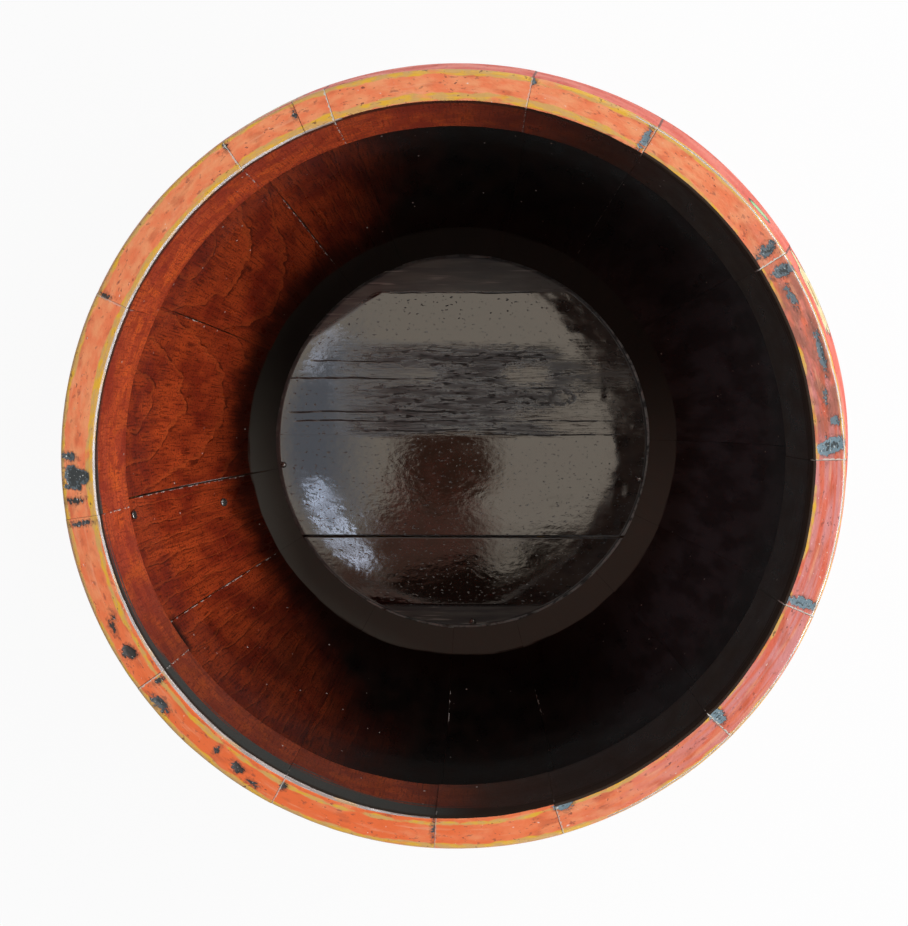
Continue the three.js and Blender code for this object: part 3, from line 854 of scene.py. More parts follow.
def hoop_surface(name, shape):
    """A hoop as the skin of a long block: around the bucket, up its width and out through its thickness.

    The strip starts at the lap, goes once round and steps out over its own beginning. Hammer dents are noise,
    and its edges are rounded.
    """
    solid = node_points(name)
    z_low, z_high = solid[:, 2].min(), solid[:, 2].max()
    width = z_high - z_low
    edge = np.array([0, 0.1, 0.3, 0.6]) * MM
    turn_steps = steps(0, 2 * np.pi + HOOP_LAP, math.radians(0.55))
    inner_steps = steps(edge[-1], width - edge[-1], 1.4 * MM)[1:-1]
    up_steps = np.concatenate([edge, inner_steps, width - edge[::-1]])
    out_steps = np.array([0, 0.35, 0.65, 1])
    places, quads, _ = block_skin((len(turn_steps), len(up_steps), len(out_steps)))
    turn = turn_steps[places[:, 0]]
    up = up_steps[places[:, 1]]
    out = out_steps[places[:, 2]]
    ends = outside_radius(np.array([z_low, z_high]), shape)
    bulge = max(0, outside_radius(np.array(0.5 * (z_low + z_high)), shape) - ends.mean())
    inner = ends[0] + (ends[1] - ends[0]) * up / width + shape.joint_gap + bulge
    lifted = np.clip((turn - 2 * np.pi + HOOP_LIFT) / HOOP_LIFT, 0, 1)
    offset = (shape.hoop_thickness + shape.joint_gap) * lifted
    direction = HOOP_START + turn
    base = polar(inner, direction, z_low + up)
    beaten = base + np.stack([0 * up, 0 * up, 40 * MM * (turn > np.pi)], axis=-1)
    dents = 0.2 * MM * noise(beaten, 8 * MM, 31) + 0.07 * MM * noise(beaten, 3 * MM, 32)
    drop = edge_drop(np.minimum(up, width - up), 0.6 * MM)
    thickness = shape.hoop_thickness - 0.2 * MM + dents - drop
    radius = inner + 0.1 * MM + offset + 0.5 * drop + (thickness - 0.5 * drop) * out
    wave = 0.25 * MM * noise(polar(inner, direction, 0 * up), 45 * MM, 33)
    points = polar(radius, direction, z_low + up + wave)
    strip = np.stack([turn * ends.mean(), up, out * MM], axis=-1) * PER_MM
    return points, quads, {"strip_mm": strip}


def headed_pin(node, sides, dent, seed):
    """A nail, tack or rivet turned about the axis of its CAD solid: shank, flat underside and domed head.

    The axis is the direction in which the solid's spread stands apart from the other two, and the head is at
    the end that is wider. The dome is a quarter ellipse, dented by noise.
    """
    solid = np.unique(np.round(node_points(node), 6), axis=0)
    centre = solid.mean(axis=0)
    spread, axes = np.linalg.eigh(np.cov((solid - centre).T))
    axis = axes[:, np.abs(spread - np.median(spread)).argmax()]
    along = (solid - centre) @ axis
    off = np.linalg.norm(solid - centre - along[:, None] * axis, axis=1)
    if off[along > 0].max() < off[along < 0].max():
        axis = -axis
        along = -along
    head, top, bottom = off.max(), along.max(), along.min()
    under = along[off > 0.95 * head].min()
    shank = off[along < bottom + 0.1 * MM].max()
    lip = 0.15 * MM
    dome = np.linspace(0, 0.5 * np.pi, 12)[:-1]
    shaft = [[0, bottom], [0.7 * shank, bottom], [shank, bottom + 0.4 * MM], [shank, under]]
    shaft.append([0.93 * head, under])
    crown = np.stack([head * np.cos(dome), under + lip + (top - under - lip) * np.sin(dome)], axis=-1)
    points, faces = lathe(np.concatenate([shaft, crown, [[0, top]]]), sides)
    points[:, 2] -= dent * eased(points[:, 2], under, top) * (0.5 + 0.5 * noise(points, 1.6 * MM, seed))
    points[:, :2] *= 1 + 0.05 * noise(points, 3 * MM, seed + 1)[:, None] * (points[:, 2:] > under)
    side = Vector(axis).orthogonal().normalized()
    basis = np.array([side, Vector(axis).cross(side), axis])
    return centre + points @ basis, faces


# Finishes


def add_node(tree, kind, *inputs, out=None, **settings):
    """Adds one node with its settings, sets or links its inputs in order, and gives one output."""
    made = tree.nodes.new("ShaderNode" + kind)
    for key, value in {**NODE_SETTINGS.get(kind, {}), **settings}.items():
        setattr(made, key, value)
    sockets = [socket for socket in made.inputs if socket.enabled]
    for socket, value in zip(sockets, inputs):
        if isinstance(value, bpy.types.NodeSocket):
            tree.links.new(value, socket)
        else:
            socket.default_value = linear(value) if isinstance(value, str) else value
    return made.outputs[out] if out else next((socket for socket in made.outputs if socket.enabled), None)


def new_material(name, **constants):
    """A material with one Principled shader, its constant sockets, and the function that adds its nodes."""
    material = bpy.data.materials.new(name)
    material.use_nodes = True
    shader = material.node_tree.nodes["Principled BSDF"]
    for key, value in constants.items():
        shader.inputs[key.replace("_", " ")].default_value = value
    return material, functools.partial(add_node, material.node_tree)


def empty_tree(owner):
    """Empties the nodes of a material or world and gives the function that adds its nodes."""
    owner.use_nodes = True
    owner.node_tree.nodes.clear()
    return functools.partial(add_node, owner.node_tree)


def finish_surface(material, base, roughness, height, depth):
    """Links colour and roughness to the shader, and a height of 0 to 1 as bump of a real depth."""
    tree = material.node_tree
    shader = tree.nodes["Principled BSDF"]
    bump = tree.nodes.new("ShaderNodeBump")
    bump.inputs["Distance"].default_value = depth
    tree.links.new(height, bump.inputs["Height"])
    for key, value in (("Base Color", base), ("Roughness", roughness), ("Normal", bump.outputs[0])):
        tree.links.new(value, shader.inputs[key])
    return material


def grains(add, place, wide, long, detail=2.0):
    """Noise from 0 to 1 whose marks have two sizes in millimetres, along a place's first two axes."""
    scaled = add("VectorMath", place, (1 / wide, 1 / long, 1), operation="MULTIPLY")
    return add("TexNoise", scaled, 1.0, detail)


def parts(add, attribute):
    """The three numbers of a vector attribute of the mesh."""
    vector = add("Attribute", out="Vector", attribute_name=attribute)
    return add("SeparateXYZ", vector).node.outputs


def place_mm(add):
    """Object coordinates in millimetres."""
    return add("VectorMath", add("TexCoord", out="Object"), (PER_MM, PER_MM, PER_MM), operation="MULTIPLY")


def spot(add, place, centre, radii):
    """How far a place is from the middle of an oval, 1 at its edge."""
    off = add("VectorMath", place, centre, operation="SUBTRACT")
    off = add("VectorMath", off, (1 / radii[0], 1 / radii[1], 1), operation="MULTIPLY")
    return add("VectorMath", off, operation="LENGTH")


def laid(add, base, over, pattern, low, high, share=1):
    """A colour laid over a base as far as a pattern has gone from low to high, up to a share."""
    return add("Mix", add("MapRange", pattern, low, high, 0, share), base, over)


def uneven(add, distance, pattern, low, high, reach):
    """A distance that a pattern moves by up to a reach either way as it goes from low to high."""
    return add("Math", distance, add("MapRange", pattern, low, high, -reach, reach))


def summed(add, total, *terms):
    """A total with several patterns added to it, each times its share."""
    for pattern, share in terms:
        total = add("Math", pattern, share, total, operation="MULTIPLY_ADD")
    return total


def most(add, *patterns):
    """The largest of several patterns."""
    return functools.reduce(functools.partial(add, "Math", operation="MAXIMUM"), patterns)


def rim_colours(add, finish, sheet):
    """Orange-red of the rim, deep on one side; on the other sooty and pink, the pink partly bloomed lacquer
    and partly painted sheen; with smears.
    """
    chalk_sheen, fresh, soot = parts(add, "rim_tones")
    mottle = grains(add, sheet, 8, 4, 4.0)
    red = laid(add, finish.rim_red, "#FDA06C", mottle, 0.35, 0.68)
    red = laid(add, red, finish.rim_fresh, grains(add, sheet, 20, 7, 3.0), 0.25, 0.5, fresh)
    # Pink towards +X: partly bloomed lacquer, partly painted sheen.
    red = add("Mix", add("Math", chalk_sheen, 0.8, operation="MULTIPLY"), red, "#E0604A")
    red = laid(add, red, finish.rim_chalk_sheen, grains(add, sheet, 30, 2.2, 3.0), 0.38, 0.6, chalk_sheen)
    red = laid(add, red, "#A45F4C", mottle, 0.3, 0.62, soot)
    for wide, long, low, high, share, code in (
        (12, 5, 0.52, 0.68, 0.5, "#C2562F"),
        (4, 2.2, 0.60, 0.70, 0.55, "#7A3E33"),
        (22, 2.4, 0.56, 0.70, 0.4, "#FFB288"),
        (2, 1.4, 0.68, 0.74, 0.8, "#FCE0D0"),
    ):
        red = laid(add, red, code, grains(add, sheet, wide, long, 4.0), low, high, share)
    return red, mottle


def rim_lacquer(finish):
    """Cinnabar lacquer on end grain, rubbed by a lid and by hands.

    The eye sees a chalky orange-red with small open pores, ochre lines along both edges that have rubbed off
    in places, and chips down to a blue-grey ground with black in the deepest spots and painted glints.
    """
    material, add = new_material("cinnabar_lacquer_rim", IOR=1.5, Coat_Weight=0.15, Coat_Roughness=0.2)
    sheet = add("Attribute", out="Vector", attribute_name="sheet_mm")
    seam, chip, _ = parts(add, "marks_mm")
    _, pale, _ = parts(add, "tones")
    inner, outer, chip_pale = parts(add, "rim_mm")
    base, mottle = rim_colours(add, finish, sheet)
    fine = grains(add, sheet, 1.6, 1.0, 3.0)

    wobble = add("MapRange", grains(add, sheet, 9, 5, 3.0), 0.25, 0.75, -0.6, 0.6)
    inner_line = add("MapRange", add("Math", inner, wobble), -0.3, 0.4, 0, 1)
    outer_line = add("MapRange", add("Math", outer, wobble), -0.4, 0.4, 0, 1)
    line = most(add, inner_line, outer_line)
    rubbed = add("MapRange", grains(add, sheet, 16, 5, 4.0), 0.3, 0.43, 0.2, line)
    line = add("Math", rubbed, line, operation="MULTIPLY")
    gold = laid(add, finish.rim_gold, finish.rim_bright, grains(add, sheet, 7, 2, 2.0), 0.42, 0.63)
    base = add("Mix", line, base, gold)

    crowded = add("MapRange", grains(add, sheet, 18, 9, 2.0), 0.42, 0.62, 0.08, 0.75)
    pores = add("MapRange", grains(add, sheet, 2.4, 1.3, 2.0), 0.63, 0.70, 0, crowded)
    base = add("Mix", pores, base, "#5E2C22")
    ragged = uneven(add, chip, fine, 0.25, 0.75, 0.55)
    base = laid(add, base, "#6B3A24", ragged, 1.2, 0.1, 0.45)
    flaked = add("MapRange", ragged, 0.12, -0.25, 0, 1)
    ground = add("Mix", chip_pale, "#332620", finish.chip_grey)
    deep = summed(add, uneven(add, chip, fine, 0.3, 0.7, 1.6), (chip_pale, 1.3))
    ground = laid(add, ground, finish.chip_black, deep, -0.4, -1.6, 0.9)
    base = add("Mix", flaked, base, ground)
    # Painted glints: small pale spots in the chips.
    base = laid(add, base, "#C9CBC6", grains(add, sheet, 1.3, 0.9, 1.0), 0.66, 0.72, flaked)
    base = laid(add, base, "#DAD3C6", uneven(add, seam, fine, 0.3, 0.7, 0.3), 0.62, 0.4, pale)
    base = laid(add, base, "#5A3A2E", seam, 0.22, 0.06, 0.4)
    roughness = summed(add, add("MapRange", mottle, 0.3, 0.7, 0.36, 0.5), (flaked, 0.22))
    height = summed(add, mottle, (fine, 0.6), (pores, -0.6), (flaked, -1.6))
    return finish_surface(material, base, roughness, height, 0.18 * MM)


def rim_edge():
    """Worn edges of the rim, rubbed smooth where the lid slid.

    The eye sees narrow polished bevels that catch a white line of light, with ochre left in short stretches;
    their pale grey colour is partly painted highlight.
    """
    gloss = {"IOR": 1.5, "Coat_Weight": 0.3, "Coat_IOR": 1.5, "Coat_Roughness": 0.15}
    material, add = new_material("polished_rim_edge", **gloss)
    sheet = add("Attribute", out="Vector", attribute_name="sheet_mm")
    streaks = grains(add, sheet, 9, 1.2, 3.0)
    # Pale grey: partly painted highlight on the bevels.
    base = laid(add, "#9E8F88", "#B8A79F", streaks, 0.35, 0.65)
    base = laid(add, base, "#C99A5C", grains(add, sheet, 16, 3, 2.0), 0.52, 0.62, 0.8)
    roughness = add("MapRange", streaks, 0.3, 0.7, 0.14, 0.26)
    return finish_surface(material, base, roughness, streaks, 0.03 * MM)


def ring_tones(add, rings, sheet):
    """Growth rings: how far a point is through its ring, from 0 to 1, and a thin line where a ring starts."""
    curl = uneven(add, rings, grains(add, sheet, 16, 26, 3.0), 0.2, 0.8, 0.2)
    through = add("Math", curl, operation="FRACT")
    broken = add("MapRange", grains(add, sheet, 6, 9, 3.0), 0.40, 0.58, 0.1, 1)
    start = add("MapRange", through, 0.085, 0.02, 0, broken)
    return through, start


def inside_lacquer(finish, shape):
    """Brown lacquer brushed over the shaved wood inside, red, with painted shade that turns it black on the
    side turned from the window.

    The eye sees a deep soft gloss with growth rings that step from light to dark, wood fibres, brush strokes
    round the lip, dust specks, painted reflections on the black side, a painted shadow low on the wall, a
    matt black band above the floor with painted light towards -Y, and a black stroke under the rim's inner
    edge with painted shade just below it.
    """
    gloss = {"IOR": 1.5, "Specular_IOR_Level": 0.15, "Coat_Weight": 0.05, "Coat_Roughness": 0.12}
    material, add = new_material("brown_lacquer_inside", **gloss)
    sheet = add("Attribute", out="Vector", attribute_name="sheet_mm")
    seam, _, stroke = parts(add, "marks_mm")
    shade_paint, pale, rings = parts(add, "tones")
    beside = add("SeparateXYZ", place_mm(add)).node.outputs
    height_mm = beside["Z"]
    blotch = grains(add, sheet, 11, 16, 3.0)
    fibres = grains(add, sheet, 0.8, 9, 3.0)
    strokes = grains(add, sheet, 40, 3.4, 3.0)
    fine = grains(add, sheet, 1.1, 1.1, 2.0)
    lip_mm = shape.lip_height * PER_MM
    rim_mm = shape.rim_height * PER_MM
    band_mm = shape.band_height * PER_MM
    on_lip = add("MapRange", height_mm, lip_mm - 1.4, lip_mm - 0.4, 0, 1)
    on_wall = add("Math", 1.0, on_lip, operation="SUBTRACT")

    through, start = ring_tones(add, rings, sheet)
    wall = laid(add, "#B44620", finish.wall_red, through, 0.0, 1.0)
    lip = laid(add, finish.lip_red, "#CC4E2E", strokes, 0.36, 0.68, 0.75)
    lip = laid(add, lip, "#B04A34", height_mm, lip_mm + 14, lip_mm + 26, 0.5)
    cloud = grains(add, sheet, 26, 34, 2.0)
    drag = grains(add, sheet, 2.6, 40, 4.0)
    rounds = grains(add, sheet, 60, 1.2, 3.0)
    for pattern, low, high, share, wall_code, lip_code in (
        (cloud, 0.38, 0.62, 0.85, "#862818", "#B0402A"),
        (blotch, 0.46, 0.68, 0.6, "#D05224", "#E8682C"),
        (drag, 0.50, 0.68, 0.55, "#782416", "#CC5230"),
        (start, 0.0, 1.0, 0.75, "#4E180E", "#C84A2C"),
        (fibres, 0.50, 0.68, 0.75, "#4C170E", "#93321F"),
        (fine, 0.52, 0.66, 0.7, "#481810", "#7E2A1E"),
        (rounds, 0.52, 0.68, 0.4, "#A83E20", "#8A2E20"),
    ):
        amount = add("MapRange", pattern, low, high, 0, share)
        wall = add("Mix", amount, wall, wall_code)
        lip = add("Mix", amount, lip, lip_code)
    wall = laid(add, wall, "#D0602C", through, 0.86, 0.98, 0.25)
    lip = laid(add, lip, "#9C3423", grains(add, sheet, 14, 9, 2.0), 0.53, 0.57, 0.45)
    base = add("Mix", on_lip, wall, lip)

    # The black side is painted shade, where the window's light does not reach.
    black = laid(add, finish.wall_shade_black, "#1B110D", blotch, 0.35, 0.7)
    black = add("Mix", on_lip, black, "#2C1E17")
    # Painted reflections on the black side: soft grey patches towards +X and grey-blue streaks low on the
    # wall.
    reflected_patches = add("MapRange", beside["X"], 40, 122, 0, 1)
    faint = add("Math", reflected_patches, 0.45, operation="MULTIPLY")
    reflected_patches = add("MapRange", grains(add, sheet, 12, 26, 2.0), 0.4, 0.62, faint, reflected_patches)
    black = add("Mix", reflected_patches, black, add("Mix", on_lip, "#312A2B", "#35291F"))
    reflected_streaks = summed(add, beside["X"], (beside["Y"], -0.2))
    reflected_streaks = add("MapRange", reflected_streaks, 85, 140, 0, reflected_patches)
    reflected_streaks = add("MapRange", height_mm, 140, 90, 0, reflected_streaks)
    black = add("Mix", reflected_streaks, black, "#58575D")
    base = add("Mix", shade_paint, base, black)
    # Painted shadow: the wall darkens low down, where the rim's shadow falls on the lit side.
    low_shadow = uneven(add, height_mm, blotch, 0.2, 0.8, 3)
    base = laid(add, base, add("Mix", reflected_patches, "#1E0F09", "#443B3A"), low_shadow, 64, 45, 0.85)

    specks = add("TexVoronoi", sheet, 1 / 7.0).node.outputs
    chosen = add("MapRange", add("SeparateColor", specks["Color"]), 0.5, 0.9, 0, 0.75)
    base = laid(add, base, "#D8CCC4", specks["Distance"], 0.085, 0.04, chosen)
    edge = uneven(add, stroke, rounds, 0.3, 0.7, 2.4)
    stroked = add("MapRange", edge, -0.8, 0.8, 0, 0.95)
    base = add("Mix", stroked, base, laid(add, "#464B48", "#2A1E18", shade_paint, 0.66, 0.95))
    # Painted shade: a dark line just under the rim's inner edge.
    base = laid(add, base, "#35281F", height_mm, rim_mm - 4.2, rim_mm - 2.2, 0.8)
    edge = uneven(add, height_mm, strokes, 0.3, 0.7, 0.6)
    in_band = add("MapRange", edge, band_mm + 0.6, band_mm - 0.6, 0, 1)
    # Painted light: the band is painted lighter towards -Y, where light reaches it.
    base = add("Mix", in_band, base, laid(add, finish.band_black, "#7A786E", beside["Y"], 60, -50))

    # Pale along the wall's opened cracks: a painted highlight on one edge.
    left = add("MapRange", grains(add, sheet, 40, 4, 3.0), 0.47, 0.55, 0, pale)
    base = laid(add, base, "#E2DAD2", uneven(add, seam, fine, 0.3, 0.7, 0.3), 0.5, 0.3, left)
    dry = add("Math", on_wall, 0.3, 0.15, operation="MULTIPLY_ADD")
    dry = add("MapRange", grains(add, sheet, 40, 9, 3.0), 0.40, 0.52, 0.06, dry)
    base = laid(add, base, "#120A08", seam, 0.28, 0.1, dry)
    roughness = add("MapRange", blotch, 0.3, 0.7, 0.26, 0.38)
    roughness = summed(add, roughness, (in_band, 0.2), (stroked, 0.2))
    height = summed(add, blotch, (fibres, 0.3), (fine, 0.15))
    return finish_surface(material, base, roughness, height, 0.25 * MM)


def outside_lacquer(finish):
    """Salmon-red oil lacquer outside, with a painted row of blossoms and leaves.

    The eye sees a soft gloss with brush drag up the staves, fading, fine scratches, dark seams, rubbed wood
    at the foot and painted motifs with a dark brush line.
    """
    material, add = new_material("painted_lacquer_outside", IOR=1.5, Specular_IOR_Level=0.14)
    sheet = add("Attribute", out="Vector", attribute_name="sheet_mm")
    seam, _, _ = parts(add, "marks_mm")
    petal, leaf, heart = parts(add, "paint_mm")
    height_mm = add("SeparateXYZ", place_mm(add), out="Z")
    blotch = grains(add, sheet, 16, 30, 4.0)
    drag = grains(add, sheet, 1.4, 26, 3.0)
    fine = grains(add, sheet, 1.5, 1.5, 2.0)
    base = laid(add, finish.outside_red, "#DC5038", blotch, 0.35, 0.68)
    base = laid(add, base, "#B93E2C", drag, 0.52, 0.7, 0.35)

    shaky = add("MapRange", fine, 0.25, 0.75, -0.5, 0.5)
    for distance, inmost, pale, paint in (
        (leaf, -4.5, "#B4DCA0", finish.leaf),
        (petal, -9.0, "#E2BE74", finish.petal),
    ):
        hand = add("Math", distance, shaky)
        tone = laid(add, pale, paint, distance, inmost, -1.5)
        base = laid(add, base, tone, hand, 0.2, -0.2, 0.96)
        brush = add("Math", add("Math", hand, 0.1), operation="ABSOLUTE")
        base = laid(add, base, finish.outline, brush, 1.0, 0.6, 0.9)
    base = laid(add, base, "#CB9A3C", add("Math", heart, shaky), 0.2, -0.2)

    low = add("MapRange", uneven(add, height_mm, blotch, 0.2, 0.8, 16), 14, -2, 0, 0.7)
    rubbed = add("MapRange", grains(add, sheet, 5, 18, 5.0), 0.63, 0.7, 0, 0.55)
    bare = most(add, rubbed, low)
    base = add("Mix", bare, base, "#74402F")
    base = laid(add, base, "#DA9587", grains(add, sheet, 0.55, 24, 2.0), 0.70, 0.76, 0.45)
    base = laid(add, base, "#42241F", summed(add, seam, (shaky, 0.4)), 0.6, 0.3, 0.8)
    roughness = summed(add, add("MapRange", blotch, 0.3, 0.7, 0.4, 0.54), (bare, 0.3))
    height = summed(add, blotch, (drag, 0.6), (bare, -0.5))
    return finish_surface(material, base, roughness, height, 0.25 * MM)


def bare_fir(finish):
    """Unlacquered fir in the joints, in the groove and under the floor: dull, brown with age, with grain."""
    material, add = new_material("bare_aged_fir", IOR=1.45)
    tall = place_mm(add)
    along = add("VectorMath", tall, (1 / 2.4, 1 / 2.4, 1 / 45), operation="MULTIPLY")
    grain = add("TexNoise", along, 1.0, 4.0)
    stain = add("TexNoise", tall, 1 / 22, 4.0)
    base = laid(add, finish.bare_wood, "#654832", grain, 0.38, 0.66)
    base = laid(add, base, "#463226", stain, 0.4, 0.65, 0.7)
    roughness = add("MapRange", stain, 0.3, 0.7, 0.62, 0.85)
    return finish_surface(material, base, roughness, grain, 0.3 * MM)


def floor_lacquer(finish):
    """Brown-black lacquer over planed boards, polished by use.

    The eye sees the sky mirrored in a hard gloss that breaks up over torn grain, pits and ridges, with a worn
    red-brown patch in the middle, a film of dust towards +X, dark joints and a painted highlight as a pale
    line along the edge.
    """
    material, add = new_material("black_brown_floor_lacquer", IOR=2.1)
    board = add("Attribute", out="Vector", attribute_name="board_mm")
    torn, crack, from_edge = parts(add, "wear")
    x, y, _ = add("SeparateXYZ", board).node.outputs
    fibres = grains(add, board, 16, 1.1, 5.0)
    streaks = grains(add, board, 38, 3.2, 4.0)
    blotch = grains(add, board, 14, 9, 4.0)
    peel = grains(add, board, 4.4, 3.4, 3.0)
    reach = add("VectorMath", board, operation="LENGTH")
    rightward = add("MapRange", x, 10, 60, 0, 1)
    bent = add("MapRange", reach, 74, 92, 0, rightward)
    base = laid(add, finish.floor_brown, "#2E1A14", streaks, 0.36, 0.66)
    base = laid(add, base, "#0B0807", fibres, 0.52, 0.7, 0.6)
    worn = add("MapRange", spot(add, board, (-14, -36, 0), (52, 46)), 1.0, 0.3, 0, 0.9)
    base = laid(add, base, "#5E261B", blotch, 0.34, 0.62, worn)

    beaten = add("MapRange", spot(add, board, (-24, -30, 0), (44, 34)), 1.1, 0.5, 0, 0.8)
    lower = add("MapRange", spot(add, board, (58, -36, 0), (34, 26)), 1.1, 0.5, 0, 0.4)
    ends = add("MapRange", spot(add, board, (8, 76, 0), (60, 9)), 1.0, 0.5, 0.25, 0.9)
    zone = most(add, beaten, lower, ends, torn, bent)
    pits = add("MapRange", grains(add, board, 2.4, 1.5, 3.0), 0.64, 0.72, 0, zone)
    ragged = add("Math", torn, 0.6, operation="MULTIPLY")
    ragged = add("MapRange", grains(add, board, 24, 3.0, 5.0), 0.42, 0.64, 0, ragged)
    flakes = add("MapRange", grains(add, board, 7, 1.8, 4.0), 0.55, 0.66, 0, torn)
    eye = add("Math", spot(add, board, (56, 25.5, 0), (7, 4.2)), 0.85, operation="SUBTRACT")
    eye = add("MapRange", add("Math", eye, operation="ABSOLUTE"), 0.45, 0.1, 0, 0.7)
    knot = add("MapRange", grains(add, board, 2.4, 1.6, 3.0), 0.4, 0.56, 0, eye)
    opened = add("MapRange", crack, 0.5, 0.1, 0, 1)
    marks = most(add, pits, ragged, flakes, knot, opened)
    wavy = add("MapRange", grains(add, board, 30, 14, 3.0), 0.3, 0.7, -0.6, 0.6)
    broken = add("MapRange", grains(add, board, 12, 40, 3.0), 0.36, 0.54, 0.2, 1)
    for place, start, end, half_width in FLOOR_LINES:
        off = add("Math", add("Math", y, wavy), place, operation="SUBTRACT")
        off = add("Math", off, operation="ABSOLUTE")
        shown = add("MapRange", x, start, start + 8, 0, broken)
        shown = add("MapRange", x, end - 16, end, shown, 0)
        marks = most(add, marks, add("MapRange", off, half_width + 0.2, half_width - 0.2, 0, shown))
    film = add("MapRange", blotch, 0.3, 0.7, add("Math", bent, 0.5, operation="MULTIPLY"), bent)
    base = add("Mix", film, base, "#5A4A40")
    base = add("Mix", marks, base, "#0C0908")

    shoulder = add("MapRange", from_edge, 2.2, 0.9, 0, 0.9)
    base = add("Mix", shoulder, base, "#15110F")
    dull = add("MapRange", y, 83, 86, 0, 1)
    dull = add("MapRange", y, -91, -94, dull, 1)
    dull = add("MapRange", summed(add, y, (x, -0.68)), 113, 120, dull, 1)
    base = laid(add, base, "#5A554D", streaks, 0.42, 0.66, dull)
    base = laid(add, base, "#A8A298", grains(add, board, 34, 1.7, 2.0), 0.6, 0.7, dull)
    # Painted highlight: a pale line along the floor's edge, stronger towards +X and -Y.
    facing = add("MapRange", add("Math", x, y, operation="SUBTRACT"), -40, 60, 0, 0.9)
    edge_highlight = add("MapRange", grains(add, board, 6, 6, 3.0), 0.38, 0.55, 0.1, facing)
    base = laid(add, base, "#F4EEE6", from_edge, 0.75, 0.45, edge_highlight)
    roughness = add("MapRange", blotch, 0.3, 0.72, 0.03, 0.07)
    dulled = ((marks, 0.7), (torn, 0.15), (dull, 0.3), (bent, 0.1), (shoulder, 0.6))
    roughness = summed(add, roughness, *dulled)
    ridges = add("Math", fibres, add("Math", torn, 3.0, operation="MULTIPLY"), operation="MULTIPLY")
    lumps = add("Math", zone, 0.24, 0.05, operation="MULTIPLY_ADD")
    height = summed(add, ridges, (peel, lumps), (marks, -0.8))
    return finish_surface(material, base, roughness, height, 0.2 * MM)


def hoop_iron(finish):
    """Hammered strip iron, blackened in the forge: dark, with brown rust in the dents and worn grey spots."""
    material, add = new_material("hammered_black_iron", Metallic=0.85)
    strip = add("Attribute", out="Vector", attribute_name="strip_mm")
    scale = grains(add, strip, 7, 6, 4.0)
    fine = grains(add, strip, 1.2, 1.0, 4.0)
    base = laid(add, finish.iron, "#4D4A48", scale, 0.35, 0.65)
    rust = add("MapRange", scale, 0.52, 0.68, 0, 0.75)
    rust = add("MapRange", fine, 0.42, 0.6, 0, rust)
    base = add("Mix", rust, base, "#5C3A29")
    roughness = summed(add, add("MapRange", fine, 0.3, 0.7, 0.38, 0.58), (rust, 0.25))
    return finish_surface(material, base, roughness, add("Math", scale, fine), 0.15 * MM)


def nail_iron(finish):
    """Hand-made iron of nails, tacks and rivets: grey where rubbed, brown-black in the pits."""
    material, add = new_material("worn_nail_iron", Metallic=0.9)
    pitted = add("TexNoise", place_mm(add), 1 / 0.9, 3.0)
    base = laid(add, finish.nail, "#4A3D35", pitted, 0.46, 0.62)
    roughness = add("MapRange", pitted, 0.4, 0.65, 0.25, 0.55)
    return finish_surface(material, base, roughness, pitted, 0.12 * MM)


def split_bamboo(finish):
    """Split bamboo of the hidden pins: straw yellow, dull, with fine straight fibres."""
    material, add = new_material("split_bamboo", IOR=1.45)
    fibre = add("TexNoise", place_mm(add), 1 / 0.7, 3.0)
    base = laid(add, finish.bamboo, "#A1824F", fibre, 0.38, 0.64)
    roughness = add("MapRange", fibre, 0.3, 0.7, 0.55, 0.75)
    return finish_surface(material, base, roughness, fibre, 0.1 * MM)


def seen_rays(add):
    """1 for rays by which the background is seen, directly, mirrored or through glass, and 0 for light."""
    path = add("LightPath").node.outputs
    seen = add("Math", path["Is Camera Ray"], path["Is Glossy Ray"])
    return add("Math", seen, path["Is Transmission Ray"], use_clamp=True)


def studio_paper():
    """White paper floor: mostly its own white where it is seen, with a share of light for the shadow."""
    material = bpy.data.materials.new("studio_paper")
    add = empty_tree(material)
    share = add("Math", seen_rays(add), 0.93, operation="MULTIPLY")
    add("OutputMaterial", add("MixShader", share, add("BsdfDiffuse", "#F0F0F0"), add("Emission", "#FFFFFF")))
    return material


def soft_sky(stage):
    """Soft light all round. Seen or mirrored it is white, and dim above, where a viewer leans over."""
    world = bpy.data.worlds.new("soft_sky")
    add = empty_tree(world)
    way = add("TexCoord", out="Generated")
    x, y, z = add("SeparateXYZ", way).node.outputs
    sky = laid(add, "#FFF0DD", "#B4BDCC", x, -0.092, -0.148, 0.95)
    body = spot(add, way, (-0.052, -0.132, 1.0), (0.074, 0.065))
    sky = laid(add, sky, "#7C5345", body, 1.05, 0.5, 0.95)
    head = spot(add, way, (-0.035, -0.058, 1.0), (0.054, 0.05))
    sky = laid(add, sky, "#68483A", head, 1.1, 0.6)
    low = add("MapRange", summed(add, y, (x, -0.3)), -0.13, -0.148, 0, 1)
    gap = spot(add, way, (0.017, -0.142, 1.0), (0.026, 0.02))
    sky = add("Mix", add("MapRange", gap, 1.0, 0.45, low, 0.2), sky, "#2A1C16")
    sky = laid(add, "#FFFFFF", sky, z, 0.9, 0.94)
    light = add("Mix", seen_rays(add), (stage.sky, stage.sky, stage.sky, 1), sky)
    add("OutputWorld", add("Background", light))
    return world


# Operators


def area_light(name, place, turn, watts, size, code):
    """A rectangular light at a place, turned from facing straight down."""
    light = bpy.data.lights.new(name, "AREA")
    light.shape = "RECTANGLE"
    light.size, light.size_y = size
    light.energy = watts
    light.color = linear(code)[:3]
    lamp = bpy.data.objects.new(name, light)
    lamp.location = place
    lamp.rotation_euler = turn
    lamp.visible_camera = False
    bpy.context.scene.collection.objects.link(lamp)


